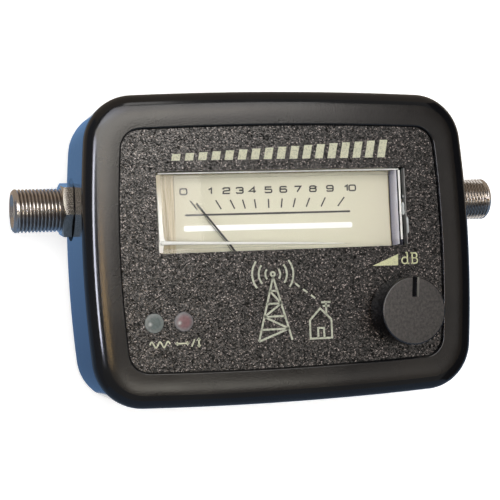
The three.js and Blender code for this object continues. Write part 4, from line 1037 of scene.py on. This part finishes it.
def lamp_pieces():
    base, flange, foot, radius, top, spot = 24.0, 1.75, 0.8, 1.5, 28.4, 2.075
    low = PLATE_TOP_Z
    for color, x in LAMPS.items():
        dome = arc(0, top - radius, radius, 0, math.pi / 2, 12)[:-1]
        shoulder = [(0, base), (flange, base), (flange, base + foot), (radius, base + foot)]
        lens = lathe(f"{color}_lamp_lens", [*shoulder, *dome, (0, top)], 64)
        dress(transform(lens, shift(x, LAMP_Y, 0)), f"{color}_lens", slot=f"{color}_lens")
        section = rounded([(0, low, 0), (spot, low, 0), (spot, FACE_Z - 0.05, 0.1), (0, FACE_Z - 0.02, 0)], 4)
        disc = lathe(f"{color}_lamp_disc", section, 64)
        dress(transform(disc, shift(x, LAMP_Y, 0)), f"{color}_spot", slot="spot", solid=f"{color}_lamp_spot")


def screw_head(name):
    """A pan head with a cross recess, on a plain shank with a point."""
    z, radius, shank = SCREW["z"], SCREW["radius"], 1.2
    top = z + SCREW["height"]
    profile = rounded([
        (0, z, 0), (radius - 0.6, z, 0.6), (radius, z + 0.7, 0.3), (radius, top, 0),
        (shank, top, 0), (shank, top + 17.0, 0.5), (0, top + 19.4, 0),
    ], 4)
    head = lathe(name, profile, 64)
    cutters = []
    for turn in (0, math.pi / 2):
        blade = slab("blade", round_rectangle(-1.35, -0.24, 1.35, 0.24, 0.1, 3), z - 0.5, z + 1.0)
        cutters.append(transform(blade, Matrix.Rotation(turn + 0.4, 4, "Z")))
    return carve(head, cutters)


def case_screws():
    for i, (sx, sy) in enumerate(CORNERS, 1):
        head = screw_head(f"case_screw_head_{i}")
        transform(head, shift(sx * SCREW["x"], sy * SCREW["y"], 0) @ Matrix.Rotation(0.7 * i, 4, "Z"))
        dress(head, "steel", slot="steel", solid=f"case_screw_{i}")


# Meter cover's edges with painted highlights and shade, and the glue beside it

def taper_rod(name, points, radii, finish, count=12):
    """A rod through the points, with its own radius at each."""
    rings = []
    for i, (point, radius) in enumerate(zip(points, radii)):
        here = Vector(point)
        ahead = Vector(points[min(i + 1, len(points) - 1)]) - Vector(points[max(i - 1, 0)])
        side = ahead.cross(Vector((0, 0, 1))).normalized()
        up = side.cross(ahead).normalized()
        turns = [2 * math.pi * k / count for k in range(count)]
        rings.append([tuple(here + (side * math.cos(t) + up * math.sin(t)) * radius) for t in turns])
    dress(loft(name, rings, False, 40), finish)


def upright(name, x0, x1, y0, y1, z0, z1, finish):
    """A thin upright sheet beside the cover's right end."""
    dress(slab(name, [(x0, y0), (x1, y0), (x1, y1), (x0, y1)], z0, z1), finish)


def cover_edges():
    """Painted highlights along the cover's edges, a sheet of painted light and shade inside its left wall, its
    frosted right wall with painted shade deeper down, and the lines beside that: a painted dark line at the
    wall's foot and painted highlights on the opening's wall and the sheet's cut edge.
    """
    left, right, bottom, top, front = -28.1, 27.95, -0.62, 16.3, 28.2
    z = front - 0.16
    heights = (bottom + 1.2, 4.0, 8.0, 12.0, top - 0.2)
    # Painted highlights: near-white rods and a wedge along the cover's edges and the fold of its bevel.
    taper_rod("cover_edge_right", [(right - 0.16, y, z) for y in heights], [0.26] * 5, "painted_highlight")
    places = (left + 0.4, -10, 8, right - 0.3)
    taper_rod("cover_edge_top", [(x, top + 0.06, z) for x in places], [0.15, 0.17, 0.17, 0.2], "painted_highlight")
    rise, skew = 2.2, math.tan(math.radians(-1.9))
    fold = [(x, bottom + rise + (x - left) * skew, z) for x in (left + 0.5, -25, -20, -10, 4, 14)]
    taper_rod("cover_edge_fold", fold, [0.5, 0.4, 0.34, 0.28, 0.24, 0.05], "painted_highlight")
    wedge = [(left + 0.12, bottom + 2.0), (left + 1.7, bottom + 2.2), (left + 0.75, bottom + 4.0),
             (left + 0.4, 8.5), (left + 0.1, 12.5)]
    dress(slab("cover_edge_left", wedge, front - 0.3, front - 0.05, edge=0.05), "painted_highlight")
    # A thin sheet inside the cover's left wall, which carries painted highlight low down and painted shade
    # above.
    side = [(left + 0.04, -0.5), (left + 0.9, -0.5), (left + 1.25, 2.0), (left + 1.05, 6.0),
            (left + 1.0, 16.1), (left + 0.04, 16.1)]
    dress(slab("cover_wall_left_painted_light", side, front - 0.7, front - 0.45), "wall_painted_light")
    # The frosted right wall, with painted shade deeper down.
    upright("cover_frost_and_shade", 27.04, 27.12, -0.4, 16.2, 14.0, 28.18, "frost_and_shade")
    # Painted shade: a dark line in the dial's ink along the foot of the cover's right wall.
    taper_rod("cover_line_foot", [(26.86, y, 24.25) for y in (-0.3, 7.0, 15.2)], [0.1] * 3, "dial_ink")
    # Painted highlight on the opening's right wall.
    upright("opening_wall_highlight", 28.78, 28.84, -0.6, 16.5, 27.0, 28.95, "opening_highlight")
    # Painted highlight along the sheet's cut edge.
    taper_rod("sheet_cut_edge_highlight", [(28.72, y, 28.9) for y in (-0.4, 8.0, 16.4)], [0.1, 0.13, 0.12], "cut_edge_highlight")


def glue_drops():
    """Two runs of glue and a drop between the cover and the edge of the opening."""
    for name, x, z, heights, sizes in (
        ("glue_drop", 28.42, 28.4, (10.5, 10.2, 9.9), (0.1, 0.24, 0.1)),
        ("glue_run_1", 28.3, 28.35, (8.9, 8.3, 7.4, 6.7, 6.0), (0.12, 0.4, 0.3, 0.46, 0.16)),
        ("glue_run_2", 28.9, 29.05, (5.6, 5.0, 4.0, 3.0, 2.2, 1.8), (0.1, 0.3, 0.24, 0.28, 0.3, 0.1)),
    ):
        taper_rod(name, [(x, y, z) for y in heights], sizes, "glue")


# Needle

def to_pointer(obj, finish, solid=None):
    """Turns a part of the needle from along Y to its place on the dial."""
    pivot, turn = (-1.9, -11.3), math.radians(38.1)
    transform(obj, shift(*pivot, 0) @ Matrix.Rotation(turn, 4, "Z"))
    dress(obj, finish, "pointer", "needle", solid)


def needle_pieces():
    """A thin blade over the dial with a grey line beside it as painted shadow, cranked down to the hub on the
    spindle.
    """
    hole, hub, low, high, thick = 0.55, 1.1, 22.7, 23.3, 0.28
    section = rounded([(hole, low, 0), (hub, low, 0.1), (hub, high, 0.1), (hole, high, 0)], 3)
    to_pointer(lathe("needle_hub", section, 40), "needle", "pointer")
    blade = [(-0.2, 7.3), (0.2, 7.3), (0.15, 27.1), (-0.15, 27.1)]
    to_pointer(slab("needle_blade", blade, 24.7, 24.98), "needle")
    # A grey-green line beside the blade, painted shadow of the needle.
    shadow_line = [(-0.16, 10.4), (-0.5, 11.4), (-0.46, 23.2), (-0.14, 24.2)]
    to_pointer(strokes("needle_line", open_lines([shadow_line]), 0.13, 24.72, 24.84), "needle_painted_shadow")
    # (y, z, half width) along the blade
    tail = [(-3.6, 22.85, 0.35), (-1.05, 22.85, 0.38)]
    arm = [(1.05, 22.85, 0.38), (5.4, 22.85, 0.32), (7.4, 24.7, 0.22)]
    for name, steps in (("needle_tail", tail), ("needle_arm", arm)):
        rings = [
            [(-half, y, z), (half, y, z), (half, y, z + thick), (-half, y, z + thick)]
            for y, z, half in steps
        ]
        to_pointer(loft(name, rings, False), "needle")


# Nodes that keep their solids

KEPT = {
    "clear": "meter_cover",
    "tray": "meter_base",
    "plate": "scale_plate",
    "bulb": "dial_lamp",
    "steel": "meter_yoke upper_spindle lower_spindle pot_shaft pot_nut board_screw_1 board_screw_2",
    "ferrite": "magnet_core choke",
    "brass": "core_bracket upper_bridge upper_hairspring lower_hairspring pointer_weight "
             "lnb_socket_contact receiver_socket_contact",
    "jewel": "upper_jewel lower_jewel",
    "copper": "meter_lead_1 meter_lead_2 moving_coil",
    "black": "pot_body buzzer signal_chip tone_chip regulator",
    "green_lens": "green_lamp",
    "red_lens": "red_lamp",
    "board": "main_board",
    "sleeve": "capacitor_1 capacitor_2",
    "nickel": "lnb_socket_washer receiver_socket_washer",
}


def dress_kept_nodes():
    for finish, names in KEPT.items():
        for name in names.split():
            wear(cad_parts[name], finish)
    round_edges(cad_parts["meter_cover"], 0.3, 4)


# Studio

FILL_LEVEL = 0.35
CEILING_LEVEL = 0.24
WARM_WHITE = (1.0, 0.95, 0.9)


def key_light():
    """A square lamp over the part, which gloss doesn't see."""
    light = bpy.data.lights.new("key", "AREA")
    light.shape = "RECTANGLE"
    light.size = light.size_y = 0.5
    light.energy = 3.4
    light.color = (1.0, 0.98, 0.95)
    obj = add_object("key", light)
    obj.location = (-0.07, 0.1, 0.74)
    obj.visible_glossy = False


def studio_world():
    """White for the camera. Gloss and glass see a white horizon below a dimmer ceiling."""
    world = bpy.data.worlds.new("studio")
    bpy.context.scene.world = world
    world.use_nodes = True
    tree = world.node_tree
    fill = find(tree, "BACKGROUND")
    preset(fill, Color=(1, 1, 1, 1), Strength=FILL_LEVEL)
    white = node(tree, "Background", Color=(1, 1, 1, 1), Strength=1.0)
    sky = node(tree, "Background", Strength=1.0)
    height = coordinate(tree, "Z", "Generated")
    feed(sky, "Color", shades(tree, height, grey(1.0), grey(CEILING_LEVEL), 0.3, 0.75))
    soft = mix_shaders(tree, ray(tree, "Glossy", "Transmission"), fill, sky)
    to_surface(tree, mix_shaders(tree, ray(tree, "Camera"), soft, white), "OUTPUT_WORLD")


def quad(name, corners):
    mesh = bpy.data.meshes.new(name)
    mesh.from_pydata([tuple(c * MM for c in corner) for corner in corners], [], [(0, 1, 2, 3)])
    return add_object(name, mesh)


def flat(x0, x1, y0, y1, z):
    return [(x0, y0, z), (x1, y0, z), (x1, y1, z), (x0, y1, z)]


def studio_floor():
    """A pale floor that keeps the shadow and shows white to the camera, gloss and glass."""
    reach, depth = 3000, -0.02
    floor = quad("floor", flat(-reach, reach, -reach, reach, depth))
    material, tree, shader = blank("floor_pale")
    feed(shader, "Base Color", shades(tree, noise(tree, 8, 2), grey(0.8), grey(0.82)))
    preset(shader, Roughness=0.9, Specular_IOR_Level=0.1)
    glow = node(tree, "Emission", Strength=0.64)
    dark = node(tree, "Emission", Strength=0.0)
    shown = mix_shaders(tree, ray(tree, "Camera", "Glossy", "Transmission"), dark, glow)
    both = node(tree, "AddShader", {0: shader.outputs[0], 1: shown.outputs[0]})
    to_surface(tree, both)
    floor.data.materials.append(material)


def card(name, corners, color, strength, fade=None):
    """A studio card that only gloss and metal see.

    fade is the y of its dim end, the share of its strength there, and the y of its full end.
    """
    obj = quad(name, corners)
    material, tree, _ = blank(name)
    glow = node(tree, "Emission", Strength=strength)
    if fade:
        dim_y, share, full_y = fade
        height = coordinate(tree, "Y")
        feed(glow, "Strength", level(tree, height, strength * share, strength, dim_y * MM, full_y * MM))
    pale = tuple(min(1.0, c * 1.15) for c in color)
    feed(glow, "Color", shades(tree, noise(tree, 12, 2), color, pale))
    to_surface(tree, glow)
    obj.data.materials.append(material)
    obj.visible_camera = obj.visible_diffuse = obj.visible_shadow = obj.visible_transmission = False


def room_of_cards():
    """Dim cards on four sides, which gloss and metal show instead of the white around."""
    near, far, low, tall, split = 50.5, 340, 0.4, 420, 10
    warm, cool, grey_blue, dark = (0.4, 0.34, 0.28), (0.19, 0.26, 0.37), (0.18, 0.19, 0.22), (0.03, 0.03, 0.035)
    for name, x0, x1 in (("left", -far, -near), ("right", near, far)):
        card(f"card_{name}_head", flat(x0, x1, split, far, low), warm, 1.0)
        card(f"card_{name}_foot", flat(x0, x1, -far, split, low), cool, 1.0)
    card("card_head", flat(-near, near, 38, far, low), warm, 1.0)
    card("card_foot", flat(-near, near, -far, -38, low), cool, 1.0)
    for name, x0, y0, x1, y1, color in (
        ("wall_left", -far, -far, -far, far, grey_blue),
        ("wall_right", far, -far, far, far, dark),
        ("wall_head", -far, far, far, far, warm),
        ("wall_foot", -far, -far, far, -far, cool),
    ):
        card(name, [(x0, y0, 1), (x1, y1, 1), (x1, y1, tall), (x0, y0, tall)], color, 1.0)


def studio():
    """The world, the floor, one lamp and the cards that make the photograph's reflections.

    Each card has its corners in millimetres, its colour, its strength and sometimes its fade.
    """
    studio_world()
    studio_floor()
    key_light()
    room_of_cards()
    key = [(50, 42, 700), (268, 260, 700), (-300, 260, 700), (-130, 42, 700)]
    corner = [(-335, 120, 701), (-190, 120, 701), (80, 292, 701), (-80, 480, 701)]
    link = [(-80, 480, 702), (80, 292, 702), (102, 262, 702), (102, 430, 702)]
    for values in (
        ("key_card", key, (1.0, 0.92, 0.83), 4.8),
        ("thread_card", flat(30, 70, 2, 42, 698), WARM_WHITE, 4.0),
        ("top_card", flat(95, 300, 262, 420, 705), WARM_WHITE, 3.6),
        ("blue_card", flat(-50.5, -38, -42, 42, 0.6), (0.27, 0.5, 1.0), 0.62, (-32, 0.6, 8)),
        ("nut_card", flat(50, 170, 450, 640, 700), WARM_WHITE, 2.8),
        ("right_card_head", flat(345, 620, 45, 110, 700), (1.0, 0.96, 0.92), 0.8),
        ("right_card_foot", flat(345, 620, -60, 0, 700), (1.0, 0.96, 0.92), 0.8),
        ("window_card", flat(-262, -212, -66, 115, 620), (0.78, 0.8, 1.0), 26.0),
        ("corner_glow_card", corner, (0.84, 0.84, 1.0), 9.0, (420, 0.42, 120)),
        ("corner_link_card", link, (0.94, 0.9, 0.92), 3.7),
        ("warm_card", flat(-104, -48, -56, 26, 690), (1.0, 0.62, 0.28), 11.0),
        ("foot_card_left", flat(30, 230, -230, -108, 700), (1.0, 0.88, 0.78), 3.0),
        ("foot_card_right", flat(230, 430, -230, -85, 700), (1.0, 0.92, 0.86), 0.7),
        ("head_card", flat(150, 290, 100, 290, 710), (1.0, 0.96, 0.92), 2.8),
    ):
        card(*values)


def camera():
    """The camera that was fitted to the photograph."""
    right, up, back = (0.95331, -0.04595, 0.29847), (0.03488, 0.99850, 0.04232), (-0.29996, -0.02993, 0.95348)
    data = bpy.data.cameras.new("camera")
    data.sensor_width = 36.0
    data.lens = 99.54
    data.clip_start = 0.01
    obj = add_object("camera", data)
    turn = Matrix((right, up, back)).transposed().to_4x4()
    obj.matrix_world = Matrix.Translation((-0.0976, -0.00952, 0.313)) @ turn
    bpy.context.scene.camera = obj


def main():
    bpy.context.scene.view_settings.view_transform = "Standard"
    for step in (
        camera, studio, dress_kept_nodes, front_frame, rear_tub, printed_sheet, level_row, wedge_mark,
        decibel_mark, lamp_signs, panel_picture, dial_print, sockets, knob_piece, lamp_pieces, case_screws,
        cover_edges, glue_drops, needle_pieces,
    ):
        step()


main()
